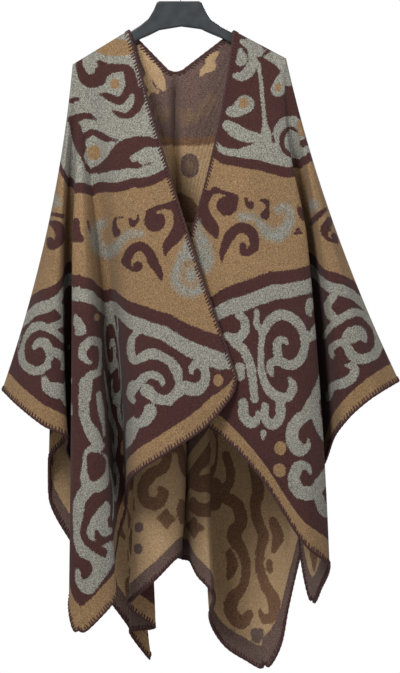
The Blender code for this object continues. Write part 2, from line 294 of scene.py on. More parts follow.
BACK_LEFT = (
    Line("centre", 0, 0, 70, 2, 118, 1020),
    Line("shade right", 45, -6, 64, -7, 106, 1016),
    Line("lobe turn", 85, -3, 50, -1, 80, 1013),
    Line("lobe right", 125, -10, 38, -7, 50, 1015),
    Line("lobe middle", 200, -38, 34, -46, 30, 1053),
    Line("lobe left", 270, -68, 38, -80, 38, 1084),
    Line("lobe return", 315, -88, 54, -88, 62, 1096),
    Line("strip right", 400, -84, 70, -44, 80, 1132),
    Line("strip pleat", 530, -106, 82, -86, 104, 1142),
    Line("back corner", 690, -112, 96, -52, 126, 1190),
    Line("side low", 790, -138, 94, -92, 142, 1129),
    Line("side middle", 900, -163, 84, -128, 140, 1080),
    Line("side outer", 1020, -186, 74, -176, 130, 1005),
    Line("outline", 1130, -204, 60, -221, 112, 913),
    Line("pleat out", 1220, -206, 44, -220, 84, 855),
    Line("pleat in", 1320, -196, 30, -192, 58, 815),
    Line("sleeve back", 1425, -206, 26, -230, 48, 787),
    Line("sleeve outer", 1490, -214, 18, -266, 32, 757),
    Line("wrist", 1540, -219, 0, -294, 0, 736),
)

BACK_RIGHT = (
    Line("centre", 0, 0, 70, 2, 118, 1020),
    Line("shade left", 45, 8, 62, 12, 102, 1021),
    Line("lobe middle", 110, 25, 48, 27, 60, 1045),
    Line("lobe right", 170, 46, 38, 48, 42, 1068),
    Line("lobe turn", 215, 56, 48, 55, 66, 1086),
    Line("dark left", 310, 58, 80, 48, 122, 1119),
    Line("dark middle", 430, 76, 100, 70, 160, 1165),
    Line("dark right", 560, 104, 102, 106, 166, 1191),
    Line("back corner", 690, 134, 92, 140, 146, 1206),
    Line("side low", 780, 155, 78, 166, 122, 1165),
    Line("side middle", 890, 172, 70, 178, 112, 1102),
    Line("side outer", 1020, 190, 68, 198, 122, 1017),
    Line("pleat out", 1150, 207, 58, 226, 112, 918),
    Line("pleat in", 1270, 216, 40, 238, 78, 838),
    Line("sleeve inner", 1370, 224, 30, 254, 56, 792),
    Line("sleeve back", 1450, 232, 24, 285, 44, 762),
    Line("wrist", 1540, 248, 0, 358, 0, 721),
)

LEFT_STROKES = (
    stroke("cap", "tan", UPPER_LEFT, (600, 95, 25), (700, 70, 75), (800, 75, 70), (865, 90, 45)),
    stroke("wide u", "dark", UPPER_LEFT, (438, 175, 32), (440, 240, 40), (500, 330, 75), (590, 330, 85),
           (680, 270, 55), (760, 255, 38)),
    stroke("body", "dark", UPPER_LEFT, (590, 190, 15), (640, 235, 35), (720, 250, 30), (840, 260, 40),
           (890, 350, 65), (920, 450, 65), (955, 530, 45)),
    stroke("droplet", "grey", UPPER_LEFT, (485, 190, 30), (505, 225, 42), (530, 265, 40)),
    stroke("round one", "grey", UPPER_LEFT, (735, 370, 72), (740, 420, 72)),
    stroke("eye one", "tan", UPPER_LEFT, (740, 385, 42), (742, 395, 42)),
    stroke("hook one", "dark", UPPER_LEFT, (610, 475, 12), (680, 500, 30), (770, 540, 36),
           (840, 500, 38), (865, 440, 40)),
    stroke("crescent", "grey", UPPER_LEFT, (745, 600, 15), (810, 610, 32), (870, 560, 36),
           (890, 500, 22)),
    stroke("hook two", "dark", UPPER_LEFT, (710, 615, 6), (770, 655, 22), (850, 670, 30),
           (920, 620, 36), (955, 540, 45)),
    stroke("edge light", "grey", UPPER_LEFT, (880, 170, 26), (920, 260, 20), (960, 420, 8)),
    stroke("comma", "dark", UPPER_LEFT, (360, 540, 22), (400, 520, 18), (450, 545, 6)),
    stroke("curl", "dark", UPPER_LEFT, (360, 700, 35), (420, 680, 35), (500, 665, 28), (580, 700, 10)),
    stroke("wedge", "dark", UPPER_LEFT, (370, 710, 38), (400, 800, 52), (430, 900, 48), (470, 1020, 32),
           (505, 1140, 22)),
    stroke("band", "dark", UPPER_LEFT, (450, 860, 35), (500, 830, 30), (550, 810, 28), (620, 840, 32),
           (700, 880, 26), (780, 885, 8)),
    stroke("round two", "grey", UPPER_LEFT, (565, 1000, 90), (565, 1030, 90), (680, 960, 62),
           (780, 905, 16)),
    stroke("eye two", "tan", UPPER_LEFT, (560, 980, 58), (562, 995, 58)),
    stroke("hill", "dark", UPPER_LEFT, (520, 1150, 22), (640, 1110, 38), (740, 1050, 66),
           (820, 975, 84), (900, 930, 72), (1000, 900, 48), (1100, 910, 38)),
    stroke("hill foot", "dark", UPPER_LEFT, (600, 1150, 18), (760, 1100, 46), (860, 1070, 60),
           (960, 1110, 20), (1070, 1080, 8)),
    stroke("almond", "grey", UPPER_LEFT, (905, 1045, 32), (980, 1020, 42), (1080, 1020, 48),
           (1140, 1040, 48)),
    stroke("sleeve blob", "tan", UPPER_LEFT, (240, 1200, 40), (230, 1300, 40)),
    stroke("c body", "dark", MIDDLE, (310, 185, 32), (350, 230, 48), (360, 320, 52), (330, 400, 48),
           (270, 470, 36), (250, 540, 8)),
    stroke("c ball", "dark", MIDDLE, (175, 300, 74), (180, 305, 74)),
    stroke("c top", "dark", MIDDLE, (140, 240, 26), (220, 210, 24), (310, 185, 28)),
    stroke("c light", "tan", MIDDLE, (200, 240, 10), (250, 235, 17), (285, 290, 19), (265, 365, 20),
           (215, 410, 22), (160, 410, 18)),
    stroke("scroll", "dark", SLEEVE_LEFT, (905, 580, 35), (940, 510, 34), (1000, 480, 34),
           (1060, 520, 34), (1100, 600, 36), (1140, 670, 24), (1155, 725, 6)),
    stroke("scroll ball", "dark", SLEEVE_LEFT, (905, 590, 32), (925, 625, 20), (960, 650, 14),
           (988, 620, 34)),
    stroke("six", "dark", SLEEVE_LEFT, (985, 262, 8), (985, 300, 14), (950, 322, 24), (932, 290, 14)),
    stroke("seven", "dark", SLEEVE_LEFT, (885, 275, 7), (832, 280, 11), (822, 330, 17), (838, 385, 30)),
    stroke("bell", "dark", SLEEVE_LEFT, (548, 300, 22), (550, 350, 28), (552, 400, 36), (585, 432, 18),
           (532, 435, 18)),
    stroke("sliver", "dark", SLEEVE_LEFT, (625, 300, 8), (635, 350, 11), (650, 395, 5)),
    stroke("wave", "blue", SLEEVE_LEFT, (740, 310, 28), (690, 340, 35), (680, 420, 42), (720, 500, 46),
           (800, 510, 42), (860, 450, 28), (920, 400, 26), (1010, 390, 20)),
    stroke("drop", "blue", MIDDLE, (405, 430, 14), (408, 520, 50), (425, 640, 110), (430, 700, 138)),
    stroke("drop ring", "tan", MIDDLE, (425, 640, 62), (430, 700, 72)),
    stroke("drop core", "blue", MIDDLE, (432, 665, 40), (436, 690, 42)),
    stroke("sleeve blue", "blue", UPPER_LEFT, (235, 1400, 34), (240, 1430, 30)),
    stroke("sleeve arch", "dark", SLEEVE_LEFT, (370, 245, 14), (440, 260, 18)),
    stroke("sleeve scroll", "dark", SLEEVE_LEFT, (365, 310, 18), (420, 340, 35), (430, 430, 32),
           (380, 470, 34), (365, 440, 30)),
    stroke("arch", "grey", MIDDLE, (70, 1082, 20), (25, 1125, 24), (12, 1200, 28), (30, 1280, 30),
           (70, 1275, 30), (140, 1242, 36), (210, 1243, 38), (285, 1285, 38), (330, 1350, 38),
           (338, 1440, 38), (320, 1520, 38), (280, 1568, 36)),
    stroke("inner", "grey", MIDDLE, (15, 1510, 30), (75, 1425, 34), (150, 1388, 30), (212, 1405, 26),
           (235, 1450, 16), (226, 1480, 7)),
    stroke("inner spiral", "dark", MIDDLE, (15, 1430, 20), (75, 1358, 24), (160, 1318, 24),
           (240, 1345, 28), (284, 1420, 28), (268, 1490, 28), (215, 1508, 26), (196, 1485, 22)),
    stroke("teardrop", "dark", MIDDLE, (100, 1150, 40), (160, 1165, 34), (240, 1205, 22),
           (330, 1255, 24), (390, 1330, 24)),
    stroke("second", "grey", MIDDLE, (440, 1385, 12), (438, 1335, 24), (485, 1312, 26), (535, 1360, 28),
           (530, 1430, 32), (490, 1490, 36), (430, 1500, 34), (385, 1480, 30)),
    stroke("second ball", "dark", MIDDLE, (400, 1395, 24), (448, 1412, 30), (485, 1395, 20)),
    stroke("left stem", "grey", LOWER_MIDDLE, (130, 30, 28), (112, 75, 20), (130, 110, 14)),
    stroke("stem ball", "grey", LOWER_MIDDLE, (215, 165, 38), (190, 200, 40), (130, 235, 34),
           (108, 300, 32), (90, 355, 10)),
    stroke("stem hook", "dark", LOWER_MIDDLE, (165, 95, 16), (160, 150, 24), (150, 185, 18)),
    stroke("lower band", "grey", LOWER_MIDDLE, (200, 55, 34), (270, 95, 34), (345, 72, 34),
           (400, 32, 28), (460, 48, 32), (505, 18, 26)),
    stroke("band curl", "dark", LOWER_MIDDLE, (330, 15, 24), (300, 52, 24), (262, 45, 20),
           (245, 25, 14)),
    stroke("ridge drop", "grey", SLEEVE_LEFT, (545, 965, 8), (565, 1020, 32), (590, 1075, 32),
           (560, 1090, 18)),
    stroke("ridge curl", "grey", SLEEVE_LEFT, (705, 1160, 30), (650, 1150, 32), (602, 1200, 30),
           (598, 1260, 28), (640, 1300, 16), (662, 1300, 8)),
    stroke("ridge edge", "grey", SLEEVE_LEFT, (712, 1180, 16), (716, 1270, 10), (705, 1340, 20)),
    stroke("ridge hook", "dark", SLEEVE_LEFT, (662, 1228, 14), (684, 1280, 18), (668, 1335, 24),
           (600, 1345, 26)),
    stroke("ridge stem", "grey", SLEEVE_LEFT, (700, 1375, 24), (645, 1400, 32), (625, 1470, 34),
           (622, 1550, 34)),
    stroke("ridge dot", "tan", SLEEVE_LEFT, (690, 975, 18), (690, 990, 18)),
    stroke("stem", "grey", LOWER_LEFT, (520, 10, 32), (512, 110, 30), (520, 230, 30), (562, 320, 36),
           (600, 390, 32)),
    stroke("side", "grey", LOWER_LEFT, (598, 80, 14), (608, 170, 18), (622, 260, 11), (630, 330, 6)),
    stroke("heart ground", "grey", LOWER_LEFT, (560, 440, 50), (540, 520, 40), (540, 600, 45),
           (610, 610, 45), (620, 470, 30)),
    stroke("heart", "dark", LOWER_LEFT, (560, 462, 32), (600, 470, 32), (588, 530, 50), (570, 580, 24)),
    stroke("heart left", "dark", LOWER_LEFT, (562, 462, 32), (570, 530, 40)),
    stroke("body", "grey", LOWER_LEFT, (540, 640, 42), (490, 720, 34), (480, 850, 28), (490, 960, 34),
           (540, 1040, 46), (600, 1080, 50), (650, 1010, 38)),
    stroke("lobe", "grey", LOWER_LEFT, (620, 760, 46), (600, 850, 56), (560, 920, 42), (655, 900, 24)),
    stroke("gap", "dark", LOWER_LEFT, (645, 680, 24), (580, 750, 24), (528, 830, 22), (512, 920, 20),
           (560, 985, 24), (640, 1030, 26)),
    stroke("star", "dark", LOWER_LEFT, (588, 900, 12), (604, 945, 22), (670, 948, 12)),
    stroke("lobe spot", "dark", LOWER_LEFT, (662, 830, 15), (664, 845, 12)),
    stroke("foot", "grey", LOWER_LEFT, (600, 1130, 56), (560, 1190, 52), (535, 1235, 38),
           (490, 1195, 24), (477, 1130, 14)),
    stroke("foot side", "grey", LOWER_LEFT, (672, 985, 26), (676, 1050, 28), (640, 1110, 34)),
    stroke("curl", "dark", LOWER_LEFT, (488, 1072, 22), (532, 1092, 22), (542, 1130, 22),
           (520, 1162, 22)),
    stroke("sleeve band", "grey", SLEEVE_LEFT, (490, 1195, 22), (430, 1130, 28), (365, 1075, 30),
           (300, 1042, 30), (235, 1060, 32), (180, 1125, 28), (158, 1210, 28), (178, 1300, 32),
           (240, 1358, 32), (310, 1350, 30), (355, 1310, 24)),
    stroke("sleeve spiral", "dark", SLEEVE_LEFT, (500, 1235, 20), (430, 1175, 24), (350, 1112, 24),
           (285, 1098, 24), (228, 1140, 26), (205, 1215, 24), (228, 1285, 28), (285, 1285, 26),
           (300, 1250, 14)),
    stroke("sleeve inner", "grey", SLEEVE_LEFT, (355, 1300, 24), (362, 1240, 30), (335, 1170, 34),
           (285, 1158, 30), (250, 1195, 16)),
    stroke("sleeve lobe", "grey", SLEEVE_LEFT, (380, 1225, 30), (430, 1245, 32), (465, 1290, 30),
           (450, 1345, 14)),
    stroke("sleeve hook", "dark", SLEEVE_LEFT, (388, 1300, 20), (398, 1350, 22), (440, 1400, 32),
           (495, 1370, 26)),
    stroke("sleeve top", "grey", SLEEVE_LEFT, (400, 890, 30), (455, 935, 34), (470, 985, 30),
           (430, 1030, 28), (370, 1045, 22)),
    stroke("sleeve drop", "dark", SLEEVE_LEFT, (350, 955, 34), (300, 968, 26), (240, 995, 18),
           (190, 1060, 12), (158, 1140, 8), (140, 1210, 6)),
    stroke("sleeve low", "grey", SLEEVE_LEFT, (330, 1420, 24), (340, 1480, 30), (400, 1522, 34),
           (460, 1500, 36), (500, 1430, 28)),
    stroke("sleeve foot", "grey", LOWER_LEFT, (310, 40, 30), (375, 60, 34), (410, 130, 28),
           (440, 200, 10)),
)

# What lies over the border
LEFT_LAST = (
    stroke("corner", "dark", MIDDLE, (585, 1490, 40), (645, 1440, 46), (705, 1395, 34)),
    stroke("dot", "tan", MIDDLE, (625, 1420, 36), (626, 1430, 36)),
)

RIGHT_STROKES = (
    stroke("shoulder", "grey", UPPER_RIGHT, (480, 15, 18), (560, 50, 50), (620, 100, 36)),
    stroke("shoulder out", "grey", UPPER_RIGHT, (690, 120, 42), (780, 165, 52), (840, 240, 52),
           (850, 320, 46)),
    stroke("hanging", "grey", UPPER_RIGHT, (840, 260, 50), (780, 340, 44), (760, 400, 54)),
    stroke("hanging eye", "tan", UPPER_RIGHT, (765, 375, 27), (765, 388, 27)),
    stroke("streak", "dark", UPPER_RIGHT, (650, 122, 7), (690, 92, 17), (710, 76, 9)),
    stroke("curl out", "grey", UPPER_RIGHT, (545, 90, 20), (570, 180, 38), (540, 250, 44),
           (480, 295, 38), (430, 290, 22)),
    stroke("curl core", "grey", UPPER_RIGHT, (470, 90, 22), (480, 150, 42), (470, 175, 36)),
    stroke("stem", "grey", UPPER_RIGHT, (585, 150, 7), (610, 200, 17), (630, 330, 16), (645, 500, 16),
           (660, 650, 18), (670, 760, 42), (690, 840, 30)),
    stroke("round", "grey", UPPER_RIGHT, (505, 515, 72), (450, 560, 52), (400, 572, 42)),
    stroke("round eye", "tan", UPPER_RIGHT, (500, 498, 36), (500, 512, 36)),
    stroke("leaf", "grey", UPPER_RIGHT, (370, 680, 40), (420, 715, 52), (490, 755, 52), (570, 775, 42),
           (640, 790, 34)),
    stroke("lower", "grey", UPPER_RIGHT, (330, 880, 14), (450, 892, 24), (600, 870, 50), (750, 880, 60),
           (900, 940, 30)),
    stroke("under leaf", "dark", UPPER_RIGHT, (300, 790, 26), (370, 830, 30), (440, 848, 24),
           (515, 832, 14), (585, 812, 5)),
    stroke("ring ground", "grey", UPPER_RIGHT, (868, 740, 140), (885, 800, 146)),
    stroke("ring", "dark", UPPER_RIGHT, (920, 720, 10), (870, 695, 14), (820, 720, 18), (790, 790, 20),
           (810, 870, 20), (870, 915, 18), (950, 915, 14)),
    stroke("sleeve one", "dark", UPPER_RIGHT, (905, 455, 18), (925, 475, 18)),
    stroke("sleeve two", "dark", UPPER_RIGHT, (925, 575, 32), (940, 595, 32)),
    stroke("sleeve tan", "tan", UPPER_RIGHT, (945, 660, 30), (960, 730, 36)),
    stroke("sleeve three", "dark", UPPER_RIGHT, (975, 815, 34), (1000, 825, 34)),
    stroke("c body", "dark", MIDDLE, (548, 120, 42), (525, 200, 42), (540, 280, 50), (590, 350, 44),
           (618, 425, 8)),
    stroke("c top", "dark", MIDDLE, (600, 85, 26), (700, 112, 18), (755, 125, 14)),
    stroke("c ball", "dark", MIDDLE, (690, 190, 74), (735, 145, 36)),
    stroke("c light", "tan", MIDDLE, (675, 122, 9), (612, 128, 17), (580, 190, 18), (594, 250, 18),
           (645, 292, 18), (690, 292, 12)),
    stroke("scroll", "dark", MIDDLE, (650, 595, 6), (660, 520, 24), (690, 440, 34), (740, 370, 38),
           (810, 350, 38), (870, 400, 38), (880, 480, 32), (850, 515, 28), (805, 525, 24),
           (800, 480, 26)),
    stroke("six", "dark", MIDDLE, (825, 140, 11), (835, 185, 16), (860, 195, 22), (865, 165, 9)),
    stroke("seven", "dark", MIDDLE, (920, 155, 9), (965, 160, 18), (975, 210, 16), (955, 262, 33)),
    stroke("dots", "blue", MIDDLE, (790, 270, 26), (870, 275, 22)),
    stroke("spiral", "blue", SLEEVE_RIGHT, (270, 80, 28), (320, 55, 25), (350, 110, 30), (330, 190, 38),
           (270, 250, 50), (190, 240, 42), (145, 185, 28), (110, 140, 18)),
    stroke("drop", "blue", MIDDLE, (482, 300, 12), (495, 400, 34), (525, 480, 50), (540, 570, 54),
           (540, 630, 36)),
    stroke("wedge", "dark", SLEEVE_RIGHT, (405, 55, 14), (425, 95, 22), (440, 140, 14)),
    stroke("triangle", "dark", SLEEVE_RIGHT, (405, 190, 5), (408, 225, 18), (428, 242, 13),
           (386, 245, 12)),
    stroke("sleeve blue", "blue", SLEEVE_RIGHT, (515, 35, 34), (520, 50, 34)),
    stroke("sleeve arch", "dark", SLEEVE_RIGHT, (600, 72, 16), (550, 120, 20), (510, 160, 22)),
    stroke("sleeve scroll", "dark", SLEEVE_RIGHT, (630, 150, 26), (600, 220, 34), (645, 270, 38),
           (680, 300, 18)),
    stroke("sleeve swirl", "tan", SLEEVE_RIGHT, (655, 215, 10), (632, 250, 10), (640, 275, 6)),
    stroke("edge hook", "grey", MIDDLE, (775, 965, 28), (815, 1015, 30), (808, 1090, 32),
           (750, 1135, 36), (690, 1115, 30)),
    stroke("edge stem", "grey", MIDDLE, (745, 1160, 34), (805, 1215, 32), (848, 1300, 30),
           (866, 1400, 30), (884, 1560, 28)),
    stroke("edge blob", "grey", MIDDLE, (775, 1340, 38), (785, 1400, 30)),
    stroke("stem", "grey", SLEEVE_RIGHT, (112, 800, 18), (116, 890, 24), (152, 950, 24),
           (145, 1050, 23), (143, 1150, 23), (152, 1250, 26), (190, 1340, 32), (260, 1400, 36),
           (330, 1400, 34), (370, 1330, 30), (345, 1270, 16)),
    stroke("volute", "grey", SLEEVE_RIGHT, (160, 950, 24), (205, 865, 34), (285, 820, 36),
           (370, 852, 36), (428, 930, 36), (446, 1040, 36), (415, 1140, 36), (345, 1178, 34),
           (275, 1150, 34), (215, 1160, 26), (208, 1215, 24), (225, 1250, 12)),
    stroke("volute spiral", "dark", SLEEVE_RIGHT, (186, 1130, 14), (198, 1010, 24), (245, 920, 28),
           (315, 895, 28), (380, 955, 30), (395, 1050, 28), (360, 1105, 28), (318, 1085, 20)),
    stroke("inner", "grey", SLEEVE_RIGHT, (262, 1100, 30), (255, 1040, 30), (275, 1000, 28),
           (312, 1000, 20), (330, 1035, 9)),
    stroke("link", "grey", SLEEVE_RIGHT, (450, 985, 34), (505, 965, 36), (542, 890, 22)),
    stroke("small curl", "grey", SLEEVE_RIGHT, (495, 735, 34), (478, 795, 22), (500, 838, 6)),
    stroke("low stem", "grey", SLEEVE_RIGHT, (570, 1200, 12), (560, 1330, 36), (510, 1430, 38),
           (470, 1500, 38)),
    stroke("sleeve volute", "grey", SLEEVE_RIGHT, (600, 975, 20), (650, 905, 26), (735, 835, 30),
           (830, 800, 32), (910, 840, 34), (965, 920, 32), (985, 1010, 32), (960, 1090, 34),
           (890, 1130, 34), (815, 1125, 36), (765, 1070, 34), (742, 1000, 30), (780, 938, 34),
           (845, 925, 32), (885, 975, 18)),
    stroke("sleeve join", "grey", SLEEVE_RIGHT, (660, 690, 28), (618, 765, 28), (650, 830, 32)),
    stroke("sleeve spiral", "dark", SLEEVE_RIGHT, (612, 1010, 18), (685, 930, 24), (775, 880, 26),
           (860, 878, 26), (918, 950, 26), (918, 1030, 26), (870, 1062, 24), (832, 1025, 18)),
    stroke("sleeve drop", "dark", SLEEVE_RIGHT, (720, 742, 32), (785, 752, 20), (860, 775, 12),
           (925, 815, 7)),
    stroke("sleeve hook", "grey", SLEEVE_RIGHT, (735, 1010, 26), (675, 1030, 24), (645, 1080, 22),
           (668, 1125, 14)),
    stroke("sleeve curl", "dark", SLEEVE_RIGHT, (715, 1090, 26), (695, 1150, 32), (722, 1215, 24)),
    stroke("sleeve inner", "grey", SLEEVE_RIGHT, (790, 975, 50), (850, 950, 40), (882, 1010, 12)),
    stroke("sleeve low", "grey", SLEEVE_RIGHT, (625, 1410, 26), (660, 1330, 30), (740, 1300, 36),
           (800, 1250, 34), (800, 1190, 28), (745, 1180, 10)),
    stroke("stem", "grey", LOWER_RIGHT, (650, 5, 24), (662, 100, 27), (700, 190, 26), (735, 250, 18)),
    stroke("volute up", "grey", LOWER_RIGHT, (650, 65, 28), (590, 90, 34), (532, 145, 36),
           (522, 220, 36), (562, 282, 36), (608, 262, 18), (612, 218, 7)),
    stroke("volute low", "grey", LOWER_RIGHT, (625, 415, 8), (608, 378, 18), (560, 372, 30),
           (532, 440, 34), (560, 515, 38), (640, 525, 38), (690, 460, 34), (732, 385, 20)),
    stroke("foot", "grey", LOWER_RIGHT, (675, 560, 28), (700, 630, 28), (735, 655, 18)),
    stroke("left hooks", "grey", LOWER_RIGHT, (245, 15, 28), (248, 80, 30), (285, 128, 30),
           (322, 110, 22), (328, 65, 10)),
    stroke("right hook", "grey", LOWER_RIGHT, (368, 30, 20), (368, 100, 26), (410, 138, 28),
           (452, 95, 28), (455, 20, 26)),
    stroke("bud", "grey", LOWER_RIGHT, (360, 185, 18), (355, 215, 8)),
    stroke("dots up", "tan", LOWER_RIGHT, (455, 265, 34), (455, 275, 34)),
    stroke("dots low", "tan", LOWER_RIGHT, (450, 390, 34), (450, 400, 34)),
)

# Inside the neck, where the cloth is drawn up
NECK_STROKES = (
    stroke("neck patch", "dark", UPPER_LEFT, (955, 60, 26), (995, 150, 40), (1050, 240, 58),
           (1110, 320, 54), (1150, 390, 34), (1165, 430, 14)),
    stroke("neck patch right", "dark", UPPER_RIGHT, (290, 100, 18), (230, 160, 34), (255, 210, 26),
           (180, 235, 26), (165, 290, 10)),
    stroke("neck patch low", "dark", UPPER_LEFT, (1010, 330, 26), (1040, 400, 30), (1110, 455, 12)),
    stroke("neck fleck", "dark", UPPER_LEFT, (960, 420, 16), (1010, 470, 22), (1060, 440, 10)),
    stroke("neck low", "grey", UPPER_LEFT, (1300, 1340, 22), (1380, 1430, 60), (1400, 1510, 80)),
    stroke("neck oval", "tan", UPPER_LEFT, (1390, 1060, 78), (1390, 1118, 78)),
    stroke("neck oval middle", "blue", UPPER_LEFT, (1390, 1074, 36), (1390, 1104, 36)),
    stroke("zigzag left", "blue", UPPER_LEFT, (1085, 680, 15), (1120, 600, 15), (1155, 690, 15),
           (1190, 600, 15)),
    stroke("zigzag", "blue", UPPER_LEFT, (1300, 600, 15), (1345, 710, 15), (1385, 610, 15),
           (1430, 700, 15), (1470, 620, 15)),
    stroke("zigzag right", "blue", UPPER_RIGHT, (20, 630, 15), (50, 650, 15), (90, 550, 15),
           (120, 610, 15), (165, 500, 15), (200, 570, 15), (230, 430, 15), (262, 480, 15)),
)

BACK_STROKES = (
    stroke("left volute", "grey", LOWER_MIDDLE, (305, 395, 24), (288, 465, 30), (215, 515, 34),
           (175, 580, 30), (190, 652, 32), (250, 665, 34), (285, 615, 28), (262, 585, 14)),
    stroke("left diamond", "grey", LOWER_MIDDLE, (298, 692, 4), (298, 748, 30), (300, 806, 4)),
    stroke("left diamond across", "grey", LOWER_MIDDLE, (244, 740, 4), (298, 748, 30), (352, 752, 4)),
    stroke("dots one", "tan", LOWER_MIDDLE, (155, 790, 24), (155, 800, 24)),
    stroke("dots two", "tan", LOWER_MIDDLE, (150, 905, 24), (150, 915, 24)),
    stroke("left low", "grey", LOWER_MIDDLE, (115, 640, 16), (122, 700, 12)),
    stroke("right curl", "grey", LOWER_MIDDLE, (470, 390, 28), (490, 450, 28), (530, 405, 12)),
    stroke("right diamond", "grey", LOWER_MIDDLE, (450, 742, 4), (450, 798, 32), (450, 856, 4)),
    stroke("right diamond across", "grey", LOWER_MIDDLE, (392, 792, 4), (450, 798, 32), (508, 800, 4)),
    stroke("lobe left", "grey", LOWER_RIGHT, (150, 330, 26), (180, 450, 26), (140, 560, 34),
           (215, 620, 38), (240, 720, 38), (195, 800, 42), (250, 900, 32), (270, 1000, 28),
           (250, 1100, 28), (190, 1170, 40), (180, 1250, 40), (240, 1310, 42), (290, 1260, 26)),
    stroke("lobe right", "grey", LOWER_RIGHT, (290, 300, 26), (340, 520, 36), (322, 620, 32),
           (340, 720, 32), (370, 800, 32), (350, 900, 27), (352, 1000, 27), (390, 1100, 32),
           (430, 1170, 36), (430, 1260, 32), (380, 1290, 26), (352, 1240, 12)),
    stroke("leaf left", "grey", LOWER_RIGHT, (170, 900, 22), (188, 980, 33), (165, 1050, 14)),
    stroke("leaf right", "grey", LOWER_RIGHT, (425, 710, 26), (455, 800, 33), (430, 885, 16)),
    stroke("leaf low", "grey", LOWER_RIGHT, (405, 950, 18), (410, 1000, 18)),
    stroke("heart", "tan", LOWER_RIGHT, (320, 1368, 26), (335, 1405, 24), (338, 1425, 10)),
    stroke("heart right", "tan", LOWER_RIGHT, (352, 1368, 26), (338, 1405, 22)),
    stroke("right volute", "grey", LOWER_MIDDLE, (395, 310, 26), (385, 400, 28), (415, 490, 38),
           (470, 560, 42), (540, 560, 50), (572, 640, 34), (530, 700, 40), (460, 690, 34),
           (447, 650, 18)),
    stroke("right top", "grey", LOWER_MIDDLE, (520, 265, 22), (530, 330, 26), (545, 390, 18)),
    stroke("mid low", "grey", LOWER_MIDDLE, (380, 660, 16), (375, 710, 24), (378, 770, 10)),
)


def linear(red, green, blue):
    """A colour given in the usual 0 to 255 steps, as linear light."""
    share = np.array([red, green, blue]) / 255
    return tuple(((share + 0.055) / 1.055) ** 2.4) + (1.0,)


# Where the upper stripe's middle line lies: an angle from the middle line, and a radius in mm
LEFT_RING = ((0, 362), (12, 335), (30, 326), (56, 336), (68, 300), (90, 290))
RIGHT_RING = ((0, 323), (25, 303), (40, 310), (53, 316), (64, 300), (90, 288))
BACK_RING = ((0, 345), (25, 318), (55, 332), (66, 302), (90, 290))

# The lower stripe's middle line: across minus down along it, and across plus down, in mm
LEFT_SLOPE = ((-680, 684), (-490, 645), (-340, 650), (-100, 676), (-10, 672), (225, 662), (400, 632))
RIGHT_SLOPE = ((-430, 660), (-320, 650), (-200, 637), (-100, 640), (190, 675), (400, 622))
BACK_SLOPE = ((-600, 665), (0, 655), (400, 640))

# The yarns of each face: pairs of colours for tan, grey, dark and blue ground
OUTER_YARNS = (
    (linear(108, 84, 60), linear(158, 128, 92)),
    (linear(98, 96, 88), linear(158, 156, 145)),
    (linear(54, 31, 30), linear(80, 50, 46)),
    (linear(100, 102, 96), linear(150, 158, 154)),
)
INNER_YARNS = (
    (linear(84, 64, 58), linear(124, 102, 94)),
    (linear(98, 70, 50), linear(136, 102, 78)),
    (linear(154, 124, 90), linear(200, 170, 132)),
    (linear(114, 90, 66), linear(146, 120, 92)),
)

# Soft creases: name, quarter, lift, and places across and down with half widths, in mm
Crease = namedtuple("Crease", "name quarter lift places")
CREASES = (
    Crease("shoulder dip", "front_left", -1.6, ((30, 40, 16), (60, 130, 20), (90, 230, 22))),
    Crease("panel roll", "front_left", 1.4, ((60, 300, 20), (95, 420, 24), (120, 540, 20))),
    Crease("ridge dent", "front_left", -1.2, ((430, 400, 12), (500, 500, 14), (560, 580, 12))),
    Crease("sleeve roll", "front_left", 1.2, ((300, 60, 12), (420, 90, 16), (560, 110, 18))),
    Crease("shoulder dip", "front_right", -1.6, ((50, 30, 16), (80, 130, 20), (100, 240, 22))),
    Crease("panel roll", "front_right", 1.5, ((150, 260, 20), (210, 380, 24), (290, 520, 22))),
    Crease("hem dent", "front_right", -1.2, ((260, 500, 12), (330, 600, 14))),
    Crease("sleeve roll", "front_right", 1.2, ((300, 60, 12), (430, 90, 16), (580, 90, 18))),
    Crease("blade dip", "back_left", -1.8, ((60, 150, 22), (110, 330, 28), (150, 500, 24))),
    Crease("back roll", "back_left", 1.5, ((150, 120, 22), (260, 320, 26), (340, 520, 26))),
    Crease("hem dent", "back_left", -1.4, ((400, 560, 16), (480, 700, 18), (520, 800, 14))),
    Crease("blade dip", "back_right", -1.8, ((60, 160, 22), (120, 340, 28), (170, 520, 24))),
    Crease("back roll", "back_right", 1.5, ((160, 110, 22), (270, 300, 26), (360, 520, 26))),
    Crease("hem dent", "back_right", -1.4, ((420, 560, 16), (470, 690, 18), (500, 810, 14))),
)


def unit(vectors):
    """The vectors at length 1. One of no length stays as it is."""
    return vectors / np.maximum(np.linalg.norm(vectors, axis=-1, keepdims=True), TINY)


def folded(down):
    """How far below the shoulder line the cloth lies, a distance down it from its fold.

    It turns a quarter circle of the fold's radius first and then runs on straight.
    """
    turned = np.minimum(down / FOLD_RADIUS, pi / 2)
    return FOLD_RADIUS * (1 - np.cos(turned)) + np.maximum(down - FOLD_RADIUS * pi / 2, 0)


def shoulder_tops(neck_x, neck_drop, tip_x, tip_drop):
    """The starts of the hang lines on one shoulder, from the neck point to the hanger's tip."""
    return (
        Top("neck point", 0, 0, 0, neck_x, 0, neck_drop),
        Top("hanger tip", TIP_LINE, SHOULDER, 0, tip_x, 0, tip_drop),
    )


